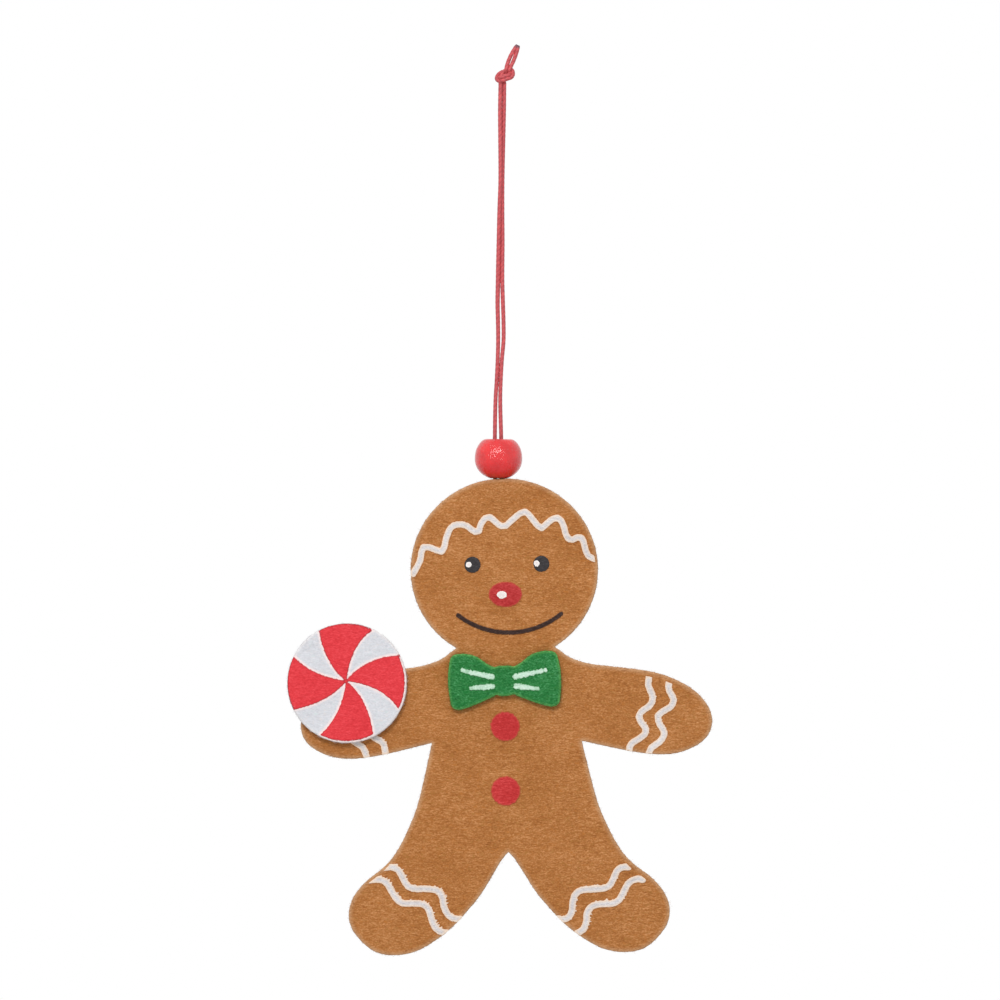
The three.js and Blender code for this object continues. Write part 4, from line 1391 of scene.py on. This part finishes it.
class ORNAMENT_OT_bow_tie(bpy.types.Operator):
    """Cut the green felt bow tie, paint its strokes and set its glue"""

    bl_idname = "ornament.bow_tie"
    bl_label = "Build Bow Tie"
    bl_options = {"REGISTER", "UNDO"}

    def execute(self, context):
        settings = context.scene.felt_ornament
        # The second colour is a painted highlight on the bow tie's rim, where the fuzzy cut edge
        # catches light.
        felt = kept("green_felt", make_felt(
            settings.felt.green, 0.68, False, written(112, 182, 96), 0.8 * MM
        ))
        felt_piece(
            "bow_tie", felt, BOW_SPACINGS, BOW_FIBRES, 200, ["front_felt_cut"], redraw=trimmed
        )
        mint = kept("mint_paint", make_ink(
            settings.ink.mint, 0.8, written(146, 196, 156), 0.2 * MM, rough=0.7, show=0.6
        ))
        for i, (node, fit) in enumerate(zip(STROKE_NODES, STROKE_FITS)):
            printed(node, mint, "mint_print", 210 + 3 * i, "stroke", redraw=refitted(*fit))
        glue_node("bow_glue_dab")
        return {"FINISHED"}


def narrowed(middle, reach):
    """A redrawer that draws the swirl's hub in and raises it: r becomes
    r - d exp((e - r) / f), and the height grows by h (1 - (r / reach)^4)."""

    def redraw(loop):
        away = loop - middle
        r = np.linalg.norm(away, axis=1, keepdims=True)
        away *= 1 - HUB_DRAWN_IN / r * np.exp((HUB_EDGE - r) / HUB_FADE)
        return middle + away + np.clip(1 - (r / reach) ** 4, 0, 1) * (0, HUB_RISE)

    return redraw


class ORNAMENT_OT_candy(bpy.types.Operator):
    """Cut the white felt candy disc, print its red swirl and set its glue"""

    bl_idname = "ornament.candy"
    bl_label = "Build Candy"
    bl_options = {"REGISTER", "UNDO"}

    def execute(self, context):
        settings = context.scene.felt_ornament
        red = settings.ink.candy
        swirl = node_outline("candy_swirl", SWIRL_STEP)
        middle = (swirl.max(0) + swirl.min(0)) / 2
        reach = np.linalg.norm(swirl - middle, axis=1).max()
        swirl = narrowed(middle, reach)(swirl)
        reach -= STAIN_REACH
        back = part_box("candy_disc")[0][1] + settings.felt.rim

        def beside(points):
            """One close beside the swirl on the front, fading to none at a little distance."""
            flat = points[:, [0, 2]]
            apart = np.empty(len(flat))
            for block in np.array_split(np.arange(len(flat)), len(flat) // BLOCK + 1):
                apart[block] = np.sqrt(((flat[block][:, None] - swirl) ** 2).sum(-1).min(1))
            return np.clip((BESIDE_REACH - apart) / BESIDE_FADE, 0, 1) * (points[:, 1] < back)

        def stain(points):
            """One where the swirl's red runs over the front edge: the point, drawn in to a
            little less than the swirl's reach, lies inside the swirl, and on the left or top
            side, where the print has slipped to."""
            away = points[:, [0, 2]] - middle
            r = np.maximum(np.linalg.norm(away, axis=1, keepdims=True), WELD)
            drawn = middle + away * np.minimum(1, reach / r)
            slipped = (away / r) @ SLIP_WAY > SLIP_LEAST
            return (depth_inside(drawn, swirl) > 0) * slipped * (points[:, 1] < back)

        # The second colour is a painted highlight on the disc's rim, where the cut edge catches
        # light.
        felt = kept("white_felt", make_felt(
            settings.felt.white, 0.26, False, written(255, 248, 244), 0.8 * MM,
            stains=(("beside", written(255, 238, 236)), ("stain", shifted(red, 0.86))),
        ))
        felt_piece(
            "candy_disc", felt, CANDY_SPACINGS, CANDY_FIBRES, 300, ["front_felt_cut"],
            faces_shown=False, beside=beside, stain=stain,
        )
        ink = kept("candy_ink", make_ink(red, 0.35, shifted(red, 0.8), 0.22 * MM, show=0.3))
        printed(
            "candy_swirl", ink, "candy_print", 310, "swirl", redraw=narrowed(middle, reach)
        )
        glue_node("candy_glue_dab")
        return {"FINISHED"}


class ORNAMENT_PT_panel(bpy.types.Panel):
    """Lists the ornament's sizes, colours and pieces"""

    bl_idname = "ORNAMENT_PT_panel"
    bl_label = "Felt Ornament"
    bl_space_type = "VIEW_3D"
    bl_region_type = "UI"
    bl_category = "Felt Ornament"

    def draw(self, context):
        settings = context.scene.felt_ornament
        for part in OrnamentSettings.__annotations__:
            group = getattr(settings, part)
            box = self.layout.box()
            box.label(text=part.title())
            for name in group.__annotations__:
                box.prop(group, name)
        column = self.layout.column(align=True)
        for operator in OPERATORS:
            column.operator(operator.bl_idname)


OPERATORS = (
    ORNAMENT_OT_stage,
    ORNAMENT_OT_cord,
    ORNAMENT_OT_bead,
    ORNAMENT_OT_figure,
    ORNAMENT_OT_face,
    ORNAMENT_OT_icing,
    ORNAMENT_OT_buttons,
    ORNAMENT_OT_bow_tie,
    ORNAMENT_OT_candy,
)
CLASSES = (
    OrnamentCordSettings,
    OrnamentBeadSettings,
    OrnamentFeltSettings,
    OrnamentInkSettings,
    OrnamentStageSettings,
    OrnamentSettings,
    *OPERATORS,
    ORNAMENT_PT_panel,
)


def register():
    for cls in CLASSES:
        bpy.utils.register_class(cls)
    bpy.types.Scene.felt_ornament = PointerProperty(type=OrnamentSettings)


def unregister():
    del bpy.types.Scene.felt_ornament
    for cls in reversed(CLASSES):
        bpy.utils.unregister_class(cls)


def main():
    register()
    bpy.ops.ornament.stage()
    bpy.ops.ornament.cord()
    bpy.ops.ornament.bead()
    bpy.ops.ornament.figure()
    bpy.ops.ornament.face()
    bpy.ops.ornament.icing()
    bpy.ops.ornament.buttons()
    bpy.ops.ornament.bow_tie()
    bpy.ops.ornament.candy()


if __name__ == "__main__":
    main()
